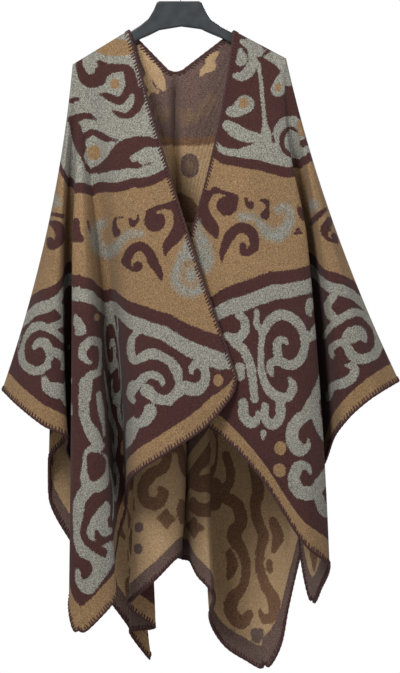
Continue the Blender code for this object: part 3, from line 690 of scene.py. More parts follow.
def back_tops(shoulder):
    """The same starts with the slit's end before them, behind the neck."""
    neck, tip = shoulder
    slit_end = float(folded(NECK_SLIT))
    corner_down = slit_end - NECK_CORNER_CUT
    corner_x = SLIT_END_X + neck.x * NECK_CORNER_SHARE
    corner_drop = SLIT_END_DROP - NECK_CORNER_RISE
    return (
        Top("slit end", 0, 0, slit_end, SLIT_END_X, SLIT_END_Y, SLIT_END_DROP),
        Top("neck corner", NECK_CORNER_LINE, 0, corner_down, corner_x, SLIT_END_Y, corner_drop),
        neck._replace(edge=NECK_LINE),
        tip,
    )


LEFT_SHOULDER = shoulder_tops(-0.086, 0.144, -0.178, 0.200)
RIGHT_SHOULDER = shoulder_tops(0.087, 0.145, 0.172, 0.190)
QUARTERS = {
    "front_left": Quarter(FRONT_LENGTH, -1, LEFT_SHOULDER, FRONT_LEFT),
    "front_right": Quarter(FRONT_LENGTH, -1, RIGHT_SHOULDER, FRONT_RIGHT),
    "back_left": Quarter(BACK_LENGTH, 1, back_tops(LEFT_SHOULDER), BACK_LEFT),
    "back_right": Quarter(BACK_LENGTH, 1, back_tops(RIGHT_SHOULDER), BACK_RIGHT),
}


def column(rows, name):
    """One named column of a table, as an array."""
    return np.array([getattr(row, name) for row in rows], float)


def smooth_through(knots, values, at):
    """A cubic through the values at the knots.

    The slope at a knot is the harmonic mean of the slopes beside it, and zero where
    the values turn back, so the crest of a fold stays on its row.
    """
    steps = np.diff(knots)
    slopes = np.diff(values) / steps
    before, after = slopes[:-1], slopes[1:]
    turning = before * after <= 0
    inner = np.where(turning, 0, 2 * before * after / np.where(turning, 1, before + after))
    tangents = np.concatenate([slopes[:1], inner, slopes[-1:]])
    i = np.clip(np.searchsorted(knots, at, side="right") - 1, 0, len(steps) - 1)
    s = (at - knots[i]) / steps[i]
    return (
        values[i] * (1 + 2 * s) * (1 - s) ** 2
        + tangents[i] * steps[i] * s * (1 - s) ** 2
        + values[i + 1] * s**2 * (3 - 2 * s)
        + tangents[i + 1] * steps[i] * s**2 * (s - 1)
    )


def hang_line_at(quarter, across, down):
    """The hang line through each flat point: its place along the cut edge, and how far
    down the line the point lies. The line is found by halving, from which side of a
    trial line the point is on."""
    edges = column(quarter.tops, "edge")
    starts_across = column(quarter.tops, "across")
    starts_down = column(quarter.tops, "down")
    low = np.zeros_like(across)
    high = np.full_like(across, HALF_WIDTH + quarter.length)
    for _ in range(HALVINGS):
        edge = (low + high) / 2
        start = np.interp(edge, edges, starts_across), np.interp(edge, edges, starts_down)
        run = np.minimum(edge, HALF_WIDTH) - start[0]
        fall = quarter.length - np.maximum(edge - HALF_WIDTH, 0) - start[1]
        outside = run * (down - start[1]) < fall * (across - start[0])
        low = np.where(outside, edge, low)
        high = np.where(outside, high, edge)
    share = np.hypot(across - start[0], down - start[1]) / np.hypot(run, fall)
    return edge, share


def parabola(share, start, middle, low):
    """A curve through three values, at the shares 0, a half and 1."""
    left = 1 - share
    return left * (left - share) * start + 4 * share * left * middle + share * (share - left) * low


def tip_cone(quarter, edge, share):
    """Where the cloth lies near the hanger's tip, as a plain cone with no folds: between
    the first and the last hang line from the tip, at each point's share of its own line."""
    tip = quarter.tops[-1]
    edges = column(quarter.lines, "edge") * MM
    ends = np.array([TIP_LINE, edges[-1]])
    round_tip = np.clip((edge - TIP_LINE) / (edges[-1] - TIP_LINE), 0, 1)
    place = []
    for axis, start in (("x", tip.x), ("y", tip.y)):
        middle = smooth_through(edges, column(quarter.lines, f"mid_{axis}") * MM, ends)
        low = smooth_through(edges, column(quarter.lines, f"low_{axis}") * MM, ends)
        first, last = (parabola(share, start, middle[i], low[i]) for i in (0, 1))
        place.append(first + (last - first) * round_tip)
    return place


def hung(quarter, across, down):
    """Where each flat point hangs. A hang line is a parabola through its start, its
    middle and its low end, and the cloth turns round the fold's radius at the shoulder."""
    straight = folded(down) * quarter.length / folded(quarter.length)
    edge, share = hang_line_at(quarter, across, straight)
    top_edges = column(quarter.tops, "edge")
    line_edges = column(quarter.lines, "edge") * MM

    def top(name):
        return np.interp(edge, top_edges, column(quarter.tops, name))

    def line(name):
        return smooth_through(line_edges, column(quarter.lines, name) * MM, edge)

    x = parabola(share, top("x"), line("mid_x"), line("low_x"))
    y = parabola(share, top("y"), line("mid_y"), line("low_y"))
    drop = top("drop") + share * (line("low_drop") - top("drop"))
    cone_x, cone_y = tip_cone(quarter, edge, share)
    folding = np.clip(share / FOLDS_START, 0, 1)
    folding = np.where(edge > TIP_LINE, folding**2 * (3 - 2 * folding), 1)
    x = cone_x + (x - cone_x) * folding
    y = cone_y + (y - cone_y) * folding
    turn = np.sin(np.minimum(down / FOLD_RADIUS, pi / 2))
    y = y + quarter.facing * (SEAM_GAP / 2 + FOLD_RADIUS * turn)
    return np.stack([x, y, -drop], axis=-1)


def spaced(stops, step):
    """Places from the first stop to the last, through each stop, about a step apart."""
    places = [stops[0]]
    for a, b in zip(stops, stops[1:]):
        places.extend(np.linspace(a, b, max(1, round((b - a) / step)) + 1)[1:])
    return np.array(places)


def round_corner(across, down, corner_across, corner_down):
    """Draws a square corner of the flat cloth in to a quarter circle."""
    inward = np.where(corner_across > 0, -1, 1)
    a = np.maximum(CORNER_RADIUS - inward * (across - corner_across), 0)
    b = np.maximum(CORNER_RADIUS - (corner_down - down), 0)
    squeeze = 1 - np.maximum(a, b) / np.maximum(np.hypot(a, b), TINY)
    return across + inward * a * squeeze, down - b * squeeze


def quarter_sheet(name, step):
    """One quarter's middle surface as a fine grid: its flat places across and down, its
    points, its normals towards the outside, and the number of rows beside the slit."""
    quarter = QUARTERS[name]
    turn = FOLD_RADIUS * pi / 2
    behind = quarter.facing > 0
    stops = [turn, NECK_SLIT, quarter.length] if behind else [turn, quarter.length]
    rows = np.concatenate([np.linspace(0, turn, FOLD_ROWS + 1)[:-1], spaced(stops, step)])
    columns = spaced([0, SHOULDER, HALF_WIDTH], step)
    if behind:
        spread = NECK_SPREAD * np.linspace(0, 1, NECK_COLUMNS + 1)[:-1] ** 2
        columns = np.concatenate([spread, spaced([NECK_SPREAD, SHOULDER, HALF_WIDTH], step)])
    down, across = np.meshgrid(rows, columns, indexing="ij")
    across, down = round_corner(across, down, HALF_WIDTH, quarter.length)
    if not behind:
        across, down = round_corner(across, down, 0, quarter.length)
    points = hung(quarter, across.ravel(), down.ravel()).reshape(*across.shape, 3)
    if behind:
        points = neck_creased(points)
    normals = np.cross(np.gradient(points, axis=1), np.gradient(points, axis=0))
    normals[0, :, 1] = 0
    towards_back = normals[len(rows) // 2, OUTWARD_COLUMN, 1] > 0
    normals = unit(normals) * (quarter.facing if towards_back else -quarter.facing)
    points = points + normals * creased(name, across / MM, down / MM)[..., None] * MM
    beside_slit = int(np.searchsorted(rows, NECK_SLIT + SMALL)) if behind else len(rows)
    return Sheet(across, down, points, normals, beside_slit)


def neck_creased(points):
    """The back's points with the narrow crease below the slit's end pressed in."""
    share = np.interp(-points[..., 2], NECK_CREASE_DROPS, (0, 1, 1, 0))
    beside = (points[..., 0] - SLIT_END_X) / NECK_CREASE_WIDTH
    depth = NECK_CREASE_DEPTH * share * np.exp(-(beside**2))
    return points + depth[..., None] * (0, 1, 0)


def through(places, step):
    """Points along a smooth curve through the places, about a step apart.

    Between two places p1 and p2 with neighbours p0 and p3 the curve is the cubic
    0.5 * (2 p1 + (p2 - p0) t + (2 p0 - 5 p1 + 4 p2 - p3) t^2 + (3 p1 - p0 - 3 p2 + p3) t^3).
    """
    if len(places) == 1:
        return places
    padded = np.concatenate([2 * places[:1] - places[1:2], places, 2 * places[-1:] - places[-2:-1]])
    parts = [places[:1]]
    for p0, p1, p2, p3 in zip(padded, padded[1:], padded[2:], padded[3:]):
        count = max(2, int(np.hypot(*(p2 - p1)[:2]) / step))
        t = np.linspace(0, 1, count + 1)[1:, None]
        parts.append(
            0.5 * (2 * p1 + (p2 - p0) * t + (2 * p0 - 5 * p1 + 4 * p2 - p3) * t**2
                   + (3 * p1 - p0 - 3 * p2 + p3) * t**3)
        )
    return np.concatenate(parts)


def near_line(line, across, down, margin):
    """Which flat points lie near a line of places with half widths, and how far outside
    its edge each of them is."""
    low = (line[:, :2] - line[:, 2:]).min(axis=0) - margin
    high = (line[:, :2] + line[:, 2:]).max(axis=0) + margin
    near = np.flatnonzero((across > low[0]) & (across < high[0]) & (down > low[1]) & (down < high[1]))
    outside = np.full(len(near), FAR)
    for x, y, radius in line:
        outside = np.minimum(outside, np.hypot(across[near] - x, down[near] - y) - radius)
    return near, outside


def laid(strokes, grid, reach=STROKE_REACH):
    """The strokes on the cloth: each place goes to the frontmost cloth seen there."""
    done = []
    for drawn in strokes:
        window = drawn.window
        places = drawn.places / window.steps + (window.left, window.top, 0)
        places = (places - (PHOTO_MIDDLE, 0, 0)) * PHOTO_PIXEL + (0, PHOTO_TOP, 0)
        line = []
        for x, drop, radius in through(places, STROKE_STEP):
            away = np.hypot(grid.x - x, grid.drop - drop)
            seen = np.flatnonzero(away < max(away.min(), SEEN_NEAR) + SEEN_SLACK)
            seen = seen[grid.y[seen] < grid.y[seen].min() + SEEN_DEPTH]
            best = seen[np.argmin(away[seen])]
            line.append((grid.across[best], grid.down[best], x, drop, radius))
        done.append(Laid(drawn.name, drawn.colour, np.array(line), reach))
    return done


def near_laid(mark, grid):
    """Which points lie near a laid stroke, and how far outside its edge each one is: as
    seen from the front, or on the flat cloth for a stroke that the photo doesn't show."""
    flat = mark.line[:, [0, 1, 4]]
    if mark.reach is None:
        return near_line(flat, grid.across, grid.down, STROKE_MARGIN)
    near, _ = near_line(flat, grid.across, grid.down, mark.reach + STROKE_MARGIN)
    outside = np.full(len(near), FAR)
    for across, down, x, drop, radius in mark.line:
        apart = np.hypot(grid.across[near] - across, grid.down[near] - down)
        seen = np.hypot(grid.x[near] - x, grid.drop[near] - drop) - radius
        beyond = (apart - REACH_WIDTHS * radius - mark.reach) * REACH_SLOPE
        outside = np.minimum(outside, np.maximum(seen, beyond))
    return near, outside


def creased(name, across, down):
    """How far, in mm, the soft creases lift each point: the sum of
    lift * exp(-(distance / width)^2) over the quarter's creases."""
    lift = np.zeros(across.size)
    for crease in CREASES:
        if crease.quarter == name:
            places = np.array(crease.places, float)
            width = places[:, 2].mean()
            line = through(places, STROKE_STEP)
            near, outside = near_line(line, across.ravel(), down.ravel(), CREASE_MARGIN)
            away = np.maximum(outside + width, 0)
            lift[near] += crease.lift * np.exp(-((away / width) ** 2))
    return lift.reshape(across.shape)


def paint(fields, colour, at, outside):
    """Lays one colour over the others where the distance outside its edge is below zero.

    Dark yarn is drawn over grey and tan, and blue over them all. So a grey or tan shape
    is carried on for a few mm under the dark beside it, and no third colour shows between.
    """
    under = np.maximum(outside - UNDERLAP, fields["dark"][at] + UNDERLAP / 3)
    if colour == "grey":
        fields["grey"][at] = np.minimum(fields["grey"][at], np.minimum(outside, under))
    if colour == "tan":
        fields["grey"][at] = np.maximum(fields["grey"][at], np.maximum(-outside, -under))
    if colour in ("grey", "tan"):
        fields["dark"][at] = np.maximum(fields["dark"][at], -outside)
    if colour in ("dark", "blue"):
        fields[colour][at] = np.minimum(fields[colour][at], outside)
    if colour != "blue":
        fields["blue"][at] = np.maximum(fields["blue"][at], -outside)


def paint_strokes(fields, strokes, grid):
    """Lays each stroke's colour over what is there before it."""
    for mark in strokes:
        near, outside = near_laid(mark, grid)
        paint(fields, mark.colour, near, outside)


def ring_distance(table, across, from_middle):
    """Distance in mm outside the upper stripe's middle line, whose radius is tabled by angle."""
    angle = np.degrees(np.arctan2(across, np.maximum(from_middle, SMALL)))
    return np.hypot(across, from_middle) - np.interp(angle, *zip(*table))


def slope_distance(table, across, from_middle):
    """Distance in mm outside the lower stripe's middle line, where across plus down is tabled."""
    place = across - from_middle
    return (across + from_middle - np.interp(place, *zip(*table))) / 2**0.5


def borrowed(strokes, own, apart):
    """The strokes whose middle is farther than a distance from every place of one's own."""
    taken = np.concatenate([mark.line[:, :2] for mark in own])
    kept = []
    for mark in strokes:
        middle = mark.line[:, :2].mean(axis=0)
        if np.hypot(*(taken - middle).T).min() > apart:
            kept.append(mark._replace(reach=None))
    return kept


def moved(strokes, side, down):
    """The strokes on the other half or lower down the cloth, where the photo doesn't show them."""
    turn, step = (side, 1, 1, 1, 1), (0, down, 0, 0, 0)
    return [mark._replace(line=mark.line * turn + step, reach=None) for mark in strokes]


def grid_of(sheet, side=1):
    """The points of a sheet in mm: flat places and places seen from the front."""
    points = sheet.points.reshape(-1, 3) / MM
    across, down = side * sheet.across.ravel() / MM, sheet.down.ravel() / MM
    return Grid(across, down, points[:, 0], points[:, 1], -points[:, 2])


def joined(first, second):
    """Two grids as one."""
    return Grid(*(np.concatenate(pair) for pair in zip(first, second)))


def design(grid, length, strokes, last, ring, slope, ground):
    """The jacquard as three fields in mm, below zero where dark, grey or blue yarn shows.

    The ground comes first, then the strokes, the stripes, the border and, on the back, the
    yoke. The last strokes lie over them all.
    """
    behind = length > FRONT_LENGTH / MM
    across, down = behind_neck(grid) if behind else (grid.across, grid.down)
    side = np.abs(across)
    from_middle = np.abs(down + (-MIDDLE_DOWN if behind else MIDDLE_DOWN))
    every = np.arange(across.size)
    upper = ring_distance(ring, side, from_middle)
    lower = slope_distance(slope, side, from_middle)
    inside_border = np.minimum(HALF_WIDTH / MM - side, length - down) - BORDER
    fields = {name: np.full(across.size, BARE) for name in ("dark", "grey", "blue")}
    paint(fields, ground, every, upper - STRIP_MIDDLE)
    paint(fields, "dark", every, -lower)
    paint_strokes(fields, strokes, grid)
    paint(fields, "grey", every, np.abs(upper - STRIP_MIDDLE) - STRIP_HALF)
    paint(fields, "dark", every, np.abs(upper) - RING_HALF)
    paint(fields, "dark", every, np.abs(lower) - DARK_HALF)
    paint(fields, "grey", every, np.abs(lower - GREY_MIDDLE) - GREY_HALF)
    paint(fields, "tan", every, inside_border)
    if behind:
        yoke = yoke_distance(grid)
        paint(fields, "tan", every, yoke)
        paint(fields, "grey", every, np.abs(yoke) - YOKE_STRIP)
    paint_strokes(fields, last, grid)
    return fields


def yoke_distance(grid):
    """Distance in mm outside the yoke's edge, a square rounded by fourth powers."""
    wide = np.abs(grid.x / YOKE_HALF) ** 4
    deep = np.abs((grid.drop - YOKE_MIDDLE) / YOKE_DEEP) ** 4
    return ((wide + deep) ** 0.25 - 1) * YOKE_HALF


def behind_neck(grid):
    """Where the stripes lie on the back. Behind the neck, where the cloth is drawn up in
    the crease, they follow the height and the distance from the middle line."""
    high = np.clip((NECK_BLEND_DROP - grid.drop) / NECK_BLEND_FALL, 0, 1)
    share = high * np.clip((NECK_BLEND_HALF - np.abs(grid.x)) / NECK_BLEND_SIDE, 0, 1)
    share = share**2 * (3 - 2 * share)
    level = grid.drop - SLIT_END_DROP / MM + NECK_SLIT / MM
    across = grid.across * (1 - share) + (grid.x + NECK_SHIFT) * share
    return across, grid.down * (1 - share) + level * share


def shell(name, sheets, finish, fields):
    """A closed thin shell: both faces and the rims of one sheet, or of two that share their
    middle line below the slit. There the first sheet's normals become those of both."""
    numbers, start = [], 0
    for sheet in sheets:
        index = start + np.arange(sheet.across.size).reshape(sheet.across.shape)
        if numbers:
            index[sheet.beside_slit - 1 :, 0] = numbers[0][sheet.beside_slit - 1 :, 0]
        numbers.append(index)
        start += index.size
    if len(sheets) == 2:
        joint = sheets[0].beside_slit - 1
        sheets[0].normals[joint:, 0] = unit(sheets[0].normals[joint:, 0] + sheets[1].normals[joint:, 0])
    points = np.concatenate([sheet.points.reshape(-1, 3) for sheet in sheets])
    normals = np.concatenate([sheet.normals.reshape(-1, 3) for sheet in sheets])
    flat = np.concatenate([np.stack([sheet.across, sheet.down], -1).reshape(-1, 2) for sheet in sheets])
    under = len(points)
    faces = []
    for index, sheet in zip(numbers, sheets):
        corners = index[:-1, :-1], index[:-1, 1:], index[1:, 1:], index[1:, :-1]
        quads = np.stack(corners, -1).reshape(-1, 4)
        borders = index[0], index[-1][::-1], index[:, -1], index[: sheet.beside_slit, 0][::-1]
        rims = [np.stack([b[1:], b[:-1], b[:-1] + under, b[1:] + under], -1) for b in borders]
        quads = np.concatenate([quads, quads[:, ::-1] + under, *rims])
        first = points[quads[0]]
        facing = np.dot(np.cross(first[1] - first[0], first[2] - first[0]), normals[quads[0, 0]])
        faces.append(quads if facing > 0 else quads[:, ::-1])
    used, faces = np.unique(np.concatenate(faces), return_inverse=True)
    faces = faces.reshape(-1, 4)
    verts = np.concatenate([points + normals * WALL / 2, points - normals * WALL / 2])[used]
    made = plain_mesh(name, verts, faces, finish)
    uv = made.data.uv_layers.new(name="flat")
    corner_places = np.concatenate([flat, flat])[used][faces.ravel()]
    uv.data.foreach_set("uv", corner_places.astype(np.float32).ravel())
    for key, field in fields.items():
        layer = made.data.attributes.new(key, "FLOAT", "POINT")
        layer.data.foreach_set("value", np.concatenate([field, field])[used].astype(np.float32))
    layer = made.data.attributes.new("inner", "FLOAT", "POINT")
    layer.data.foreach_set("value", (used >= under).astype(np.float32))
    return made


def plain_mesh(name, verts, faces, finish):
    """A smooth shaded object of four sided faces."""
    mesh = bpy.data.meshes.new(name)
    mesh.vertices.add(len(verts))
    mesh.vertices.foreach_set("co", np.asarray(verts, np.float32).ravel())
    mesh.loops.add(faces.size)
    mesh.loops.foreach_set("vertex_index", faces.astype(np.int32).ravel())
    mesh.polygons.add(len(faces))
    mesh.polygons.foreach_set("loop_start", np.arange(0, faces.size, 4, dtype=np.int32))
    mesh.update(calc_edges=True)
    mesh.validate()
    mesh.materials.append(finish)
    mesh.shade_smooth()
    mesh.set_sharp_from_angle(angle=SHARP_ANGLE)
    made = bpy.data.objects.new(name, mesh)
    bpy.context.scene.collection.objects.link(made)
    return made


def cut_edges(sheet):
    """A quarter's hem, side and slit: their points, normals and directions into the cloth."""
    points, normals, rows = sheet.points, sheet.normals, sheet.beside_slit
    return [
        (points[-1], normals[-1], points[-3] - points[-1]),
        (points[::-1, -1], normals[::-1, -1], points[::-1, -3] - points[::-1, -1]),
        (points[:rows, 0], normals[:rows, 0], points[:rows, 2] - points[:rows, 0]),
    ]


def resampled(values, places, wanted):
    """The values at the wanted places along an edge, by straight lines between its points."""
    return np.stack([np.interp(wanted, places, values[:, i]) for i in range(values.shape[1])], -1)


def tubes(paths, radius, sides):
    """Round tubes along many paths of equal point counts, open at their ends.

    paths has the shape (tubes, points, 3). A ring's two axes are square to the path: the
    first is the path's direction crossed with a fixed slanting line.
    """
    count, length = paths.shape[:2]
    ahead = unit(np.gradient(paths, axis=1))
    first = unit(np.cross(ahead, SLANT))
    second = np.cross(ahead, first)
    turns = np.linspace(0, 2 * pi, sides, endpoint=False)[:, None]
    size = np.broadcast_to(radius, (count, length))[..., None, None]
    outwards = first[:, :, None] * np.cos(turns) + second[:, :, None] * np.sin(turns)
    ring = paths[:, :, None] + size * outwards
    index = np.arange(count * length * sides).reshape(count, length, sides)
    after = np.roll(index, -1, axis=2)
    faces = np.stack([index[:, :-1], after[:, :-1], after[:, 1:], index[:, 1:]], -1).reshape(-1, 4)
    return ring.reshape(-1, 3), faces


def stitch_paths(places, points, normals, inward, rng):
    """One path a stitch along an edge, from one face round the edge to the other."""
    count = max(3, round(places[-1] / STITCH_PITCH))
    at = (np.arange(count) + 0.5) * places[-1] / count + rng.uniform(-STITCH_OFF, STITCH_OFF, count)
    at = np.clip(at, 0, places[-1])
    directions = points, normals, unit(inward), unit(np.gradient(points, axis=0))
    place, up, into, ahead = (resampled(each, places, at)[:, None] for each in directions)
    lean = ahead * rng.uniform(-STITCH_LEAN, STITCH_LEAN, (count, 1, 1))
    long = STITCH_LENGTH * rng.uniform(STITCH_SHORT, STITCH_LONG, (count, 1, 1))
    bent = into * long * STITCH_AWAY + up * STITCH_RAISED * STITCH_OVER
    return place + bent + lean * np.abs(STITCH_AWAY)


def edge_yarn(places, points, normals):
    """The path and the half thicknesses of the yarn along an edge, which wanders and swells
    as a sine and a cosine of the stitches' pitch."""
    fine = np.linspace(0, places[-1], max(8, int(places[-1] / EDGE_STEP)))
    turn = fine / STITCH_PITCH * 2 * pi
    wander = EDGE_WANDER * np.sin(turn)[:, None] * resampled(normals, places, fine)
    path = resampled(points, places, fine) + wander
    return path[None], EDGE_YARN * (1 + EDGE_SWELL * np.cos(turn))[None]


def edge_stitches(name, edges, finish, seed):
    """Blanket stitches: a yarn along the edge, and one over it every pitch, which lies on
    both faces square to the edge."""
    rng = np.random.default_rng(seed)
    verts, faces, start = [], [], 0
    for points, normals, inward in edges:
        steps = np.linalg.norm(np.diff(points, axis=0), axis=-1)
        places = np.concatenate([[0], np.cumsum(steps)])
        stitches = stitch_paths(places, points, normals, inward, rng)
        for round_yarn in (
            tubes(stitches, STITCH_YARN, STITCH_SIDES),
            tubes(*edge_yarn(places, points, normals), EDGE_SIDES),
        ):
            verts.append(round_yarn[0])
            faces.append(round_yarn[1] + start)
            start += len(round_yarn[0])
    return plain_mesh(name, np.concatenate(verts), np.concatenate(faces), finish)


class Nodes:
    """A short way to add the nodes of one material."""

    def __init__(self, name):
        self.material = bpy.data.materials.new(name)
        self.material.use_nodes = True
        self.tree = self.material.node_tree
        self.shader = self.tree.nodes["Principled BSDF"]
        self.place = self.add("ShaderNodeTexCoord").outputs["Object"]

    def put(self, socket, value):
        """Links an output to a socket, or sets a plain value on it."""
        if isinstance(value, bpy.types.NodeSocket):
            self.tree.links.new(value, socket)
        elif value is not None:
            socket.default_value = value

    def look(self, name, value):
        """Sets or links one of the shader's own sockets."""
        self.put(self.shader.inputs[name], value)

    def add(self, kind, values=(), **settings):
        """A new node with its settings and its inputs' values."""
        made = self.tree.nodes.new(kind)
        for key, value in settings.items():
            setattr(made, key, value)
        for key, value in dict(values).items():
            self.put(made.inputs[key], value)
        return made

    def math(self, operation, a, b=None, c=None):
        """One sum of up to three values."""
        made = self.add("ShaderNodeMath", operation=operation)
        for socket, value in zip(made.inputs, (a, b, c)):
            self.put(socket, value)
        return made.outputs[0]

    def noise(self, scale, detail):
        """Noise at the object's own places, about 0.5."""
        values = {"Scale": scale, "Detail": detail, "Vector": self.place}
        return self.add("ShaderNodeTexNoise", values).outputs[0]

    def wobble(self, scale, reach):
        """Plain noise spread to a reach on both sides of zero."""
        return self.math("MULTIPLY_ADD", self.noise(scale, 1.0), 2 * reach, -reach)

    def mix(self, share, a, b, blend="MIX"):
        """A share of the second colour over the first."""
        made = self.add("ShaderNodeMix", data_type="RGBA", blend_type=blend)
        self.put(made.inputs[0], share)
        self.put(made.inputs[6], a)
        self.put(made.inputs[7], b)
        return made.outputs[2]

    def spread(self, value, low, high, out_low=0.0, out_high=1.0):
        """A value's range from low to high, stretched over another range."""
        made = self.add("ShaderNodeMapRange")
        for socket, given in zip(made.inputs, (value, low, high, out_low, out_high)):
            self.put(socket, given)
        return made.outputs[0]

    def attribute(self, name):
        """A value that the mesh's points carry."""
        return self.add("ShaderNodeAttribute", attribute_name=name).outputs["Fac"]

    def bump(self, height, strength, distance):
        """Tilts the shader's normals by a height."""
        values = {"Strength": strength, "Distance": distance, "Height": height}
        self.look("Normal", self.add("ShaderNodeBump", values).outputs[0])


def knit_material():
    """Fuzzy double faced knit: each colour's field, roughened by the stitches, picks a yarn,
    and the inner face has the yarns changed over."""
    nodes = Nodes("jacquard_knit")
    flat = nodes.add("ShaderNodeUVMap", uv_map="flat").outputs[0]
    jagged = nodes.math("ADD", nodes.wobble(430, 2.3), nodes.wobble(90, 1.5))
    inner = nodes.math("GREATER_THAN", nodes.attribute("inner"), 0.5)
    shares = {}
    for name, blur in (("dark", 0.7), ("grey", 0.7), ("blue", 5.0)):
        shares[name] = nodes.spread(nodes.math("ADD", nodes.attribute(name), jagged), -blur, blur, 1.0, 0.0)
    patchy = nodes.spread(nodes.noise(300, 3.0), 0.36, 0.6, 0.35, 1.0)
    shares["blue"] = nodes.math("MULTIPLY", shares["blue"], patchy)
    heather = nodes.noise(620, 3.0)
    fleck = nodes.noise(260, 2.0)
    faces = []
    for tan, grey, dark, blue in OUTER_YARNS, INNER_YARNS:
        speckled = nodes.mix(nodes.spread(heather, 0.40, 0.60), *grey)
        plain = nodes.mix(nodes.spread(heather, 0.36, 0.66), *tan)
        deep = nodes.mix(nodes.spread(heather, 0.34, 0.70), *dark)
        pale = nodes.mix(nodes.spread(heather, 0.40, 0.60), *blue)
        colour = nodes.mix(shares["grey"], plain, speckled)
        colour = nodes.mix(shares["dark"], colour, deep)
        faces.append(nodes.mix(shares["blue"], colour, pale))
    colour = nodes.mix(inner, *faces)
    worn = nodes.spread(nodes.noise(9, 3.0), 0.3, 0.7, 0.93, 1.06)
    value = nodes.math("MULTIPLY", worn, nodes.spread(fleck, 0.3, 0.7, 0.92, 1.08))
    tint = nodes.add("ShaderNodeCombineColor", {0: value, 1: value, 2: value}).outputs[0]
    nodes.look("Base Color", nodes.mix(1.0, colour, tint, "MULTIPLY"))
    parts = nodes.add("ShaderNodeSeparateXYZ", {0: flat}).outputs
    ribs = nodes.math("SINE", nodes.math("MULTIPLY", parts[0], 2 * pi / KNIT_RIB))
    rows = nodes.math("SINE", nodes.math("MULTIPLY", parts[1], 2 * pi / KNIT_ROW))
    strength = nodes.math("MULTIPLY_ADD", inner, 0.5, 0.18)
    knit = nodes.math("MULTIPLY", nodes.math("MULTIPLY_ADD", rows, 0.35, ribs), strength)
    nodes.bump(nodes.math("ADD", knit, nodes.math("MULTIPLY", nodes.noise(700, 4.0), 2.4)), 0.55, 0.0007)
    nodes.look("Roughness", 0.95)
    nodes.look("Specular IOR Level", 0.15)
    nodes.look("Sheen Weight", 0.05)
    nodes.look("Sheen Roughness", 0.6)
    return nodes.material


def yarn_material():
    """Dark brown wool with fine fibres."""
    nodes = Nodes("stitch_wool")
    fibre = nodes.spread(nodes.noise(900, 3.0), 0.35, 0.7)
    nodes.look("Base Color", nodes.mix(fibre, linear(48, 24, 24), linear(84, 48, 44)))
    nodes.bump(nodes.noise(1400, 3.0), 0.6, 0.0005)
    nodes.look("Roughness", 0.9)
    nodes.look("Sheen Weight", 0.05)
    return nodes.material


def plastic_material():
    """Satin black plastic with a fine moulded grain."""
    nodes = Nodes("hanger_plastic")
    dull = nodes.noise(60, 3.0)
    nodes.look("Base Color", nodes.mix(dull, linear(30, 35, 39), linear(44, 49, 53)))
    nodes.look("Roughness", nodes.spread(dull, 0.3, 0.7, 0.34, 0.5))
    nodes.bump(nodes.noise(1500, 2.0), 0.12, 0.0003)
    return nodes.material


def wire_material():
    """Bright plated steel wire with faint drawing marks."""
    nodes = Nodes("hook_steel")
    marks = nodes.noise(240, 3.0)
    nodes.look("Base Color", nodes.mix(marks, linear(170, 172, 174), linear(205, 206, 208)))
    nodes.look("Roughness", nodes.spread(marks, 0.3, 0.7, 0.2, 0.34))
    nodes.look("Metallic", 1.0)
    return nodes.material


def area_light(name, place, size, power):
    """A large soft light at a place, turned towards the middle of the cloth."""
    light = bpy.data.lights.new(name, "AREA")
    light.shape = "SQUARE"
    light.size = size
    light.energy = power
    made = bpy.data.objects.new(name, light)
    made.location = place
    made.rotation_euler = (Vector(LIGHTS_AIM) - Vector(place)).to_track_quat("-Z", "Y").to_euler()
    bpy.context.scene.collection.objects.link(made)


def studio():
    """The white surroundings, the lights, and the level camera in front."""
    scene = bpy.context.scene
    world = bpy.data.worlds.new("white_room")
    world.use_nodes = True
    tree = world.node_tree
    background = tree.nodes["Background"]
    background.inputs["Color"].default_value = (1, 1, 1, 1)
    seen = tree.nodes.new("ShaderNodeLightPath").outputs["Is Camera Ray"]
    strength = tree.nodes.new("ShaderNodeMapRange")
    strength.inputs["To Min"].default_value = ROOM_LIGHT
    tree.links.new(seen, strength.inputs["Value"])
    tree.links.new(strength.outputs[0], background.inputs["Strength"])
    scene.world = world
    for light in LIGHTS:
        area_light(*light)
    camera = bpy.data.objects.new("camera", bpy.data.cameras.new("camera"))
    camera.location = (CAMERA_X, -CAMERA_AWAY, CAMERA_Z)
    camera.rotation_euler = (pi / 2, 0, 0)
    camera.data.sensor_fit = "VERTICAL"
    camera.data.sensor_height = SENSOR
    camera.data.lens = SENSOR * CAMERA_AWAY / VIEW_HEIGHT
    camera.data.clip_end = SIGHT
    scene.collection.objects.link(camera)
    scene.camera = camera
    scene.view_settings.view_transform = "Standard"


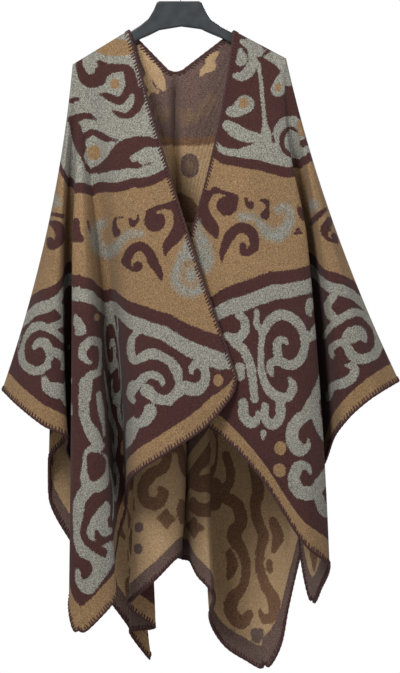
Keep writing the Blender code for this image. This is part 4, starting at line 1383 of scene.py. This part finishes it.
def all_strokes(left_grid, right_grid, back_grid):
    """The strokes of both fronts and of the back: their own, and borrowed ones where the
    photo doesn't show the cloth. Then those inside the neck, which the borrowed ones avoid."""
    left_own, right_own = laid(LEFT_STROKES, left_grid), laid(RIGHT_STROKES, right_grid)
    left = borrowed(right_own, left_own, FRONTS_APART) + left_own
    right = borrowed(left_own, right_own, FRONTS_APART) + right_own
    back_own = laid(BACK_STROKES, back_grid)
    back_own = borrowed(moved(back_own, -1, 0), back_own, HALVES_APART) + back_own
    neck_own = laid(NECK_STROKES, back_grid, NECK_REACH)
    back = borrowed(moved(left, -1, 2 * MIDDLE_DOWN), back_own + neck_own, BACK_APART)
    back += borrowed(moved(right, 1, 2 * MIDDLE_DOWN), back_own + neck_own, BACK_APART)
    return left, right, back + back_own, neck_own


def make_cloth():
    """Each stretch's name, cloth, stitches and flat size."""
    left, right = (quarter_sheet(name, FRONT_STEP) for name in ("front_left", "front_right"))
    back = [quarter_sheet(name, BACK_STEP) for name in ("back_left", "back_right")]
    left_grid, right_grid = grid_of(left), grid_of(right)
    back_grid = joined(grid_of(back[0], -1), grid_of(back[1]))
    left_strokes, right_strokes, back_strokes, neck_own = all_strokes(left_grid, right_grid, back_grid)
    left_last = laid(LEFT_LAST, left_grid)
    left_look = left_strokes, left_last, LEFT_RING, LEFT_SLOPE, "grey"
    right_look = right_strokes, (), RIGHT_RING, RIGHT_SLOPE, "dark"
    back_look = back_strokes, neck_own, BACK_RING, BACK_SLOPE, "dark"
    knit, wool = knit_material(), yarn_material()
    pieces = []
    for name, sheets, grid, look, width, length in (
        ("front_left", [left], left_grid, left_look, HALF_WIDTH, FRONT_LENGTH),
        ("front_right", [right], right_grid, right_look, HALF_WIDTH, FRONT_LENGTH),
        ("back", back, back_grid, back_look, 2 * HALF_WIDTH, BACK_LENGTH),
    ):
        cloth = shell(f"{name}_cloth", sheets, knit, design(grid, length / MM, *look))
        edges = [edge for sheet in sheets for edge in cut_edges(sheet)]
        stitches = edge_stitches(f"{name}_stitches", edges, wool, STITCH_SEEDS[name])
        pieces.append((name, cloth, stitches, (width, length)))
    return pieces


def main():
    """The frame, the cloth and its stitches, the finishes of the hanger, and the studio."""
    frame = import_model()
    for name, cloth, stitches, flat in make_cloth():
        for piece in (cloth, stitches):
            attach(piece, "root")
        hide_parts(name)
    for node, finish in (("hanger", plastic_material()), ("hook", wire_material())):
        node_mesh = frame["nodes"][node].data
        node_mesh.materials.clear()
        node_mesh.materials.append(finish)
    studio()


main()
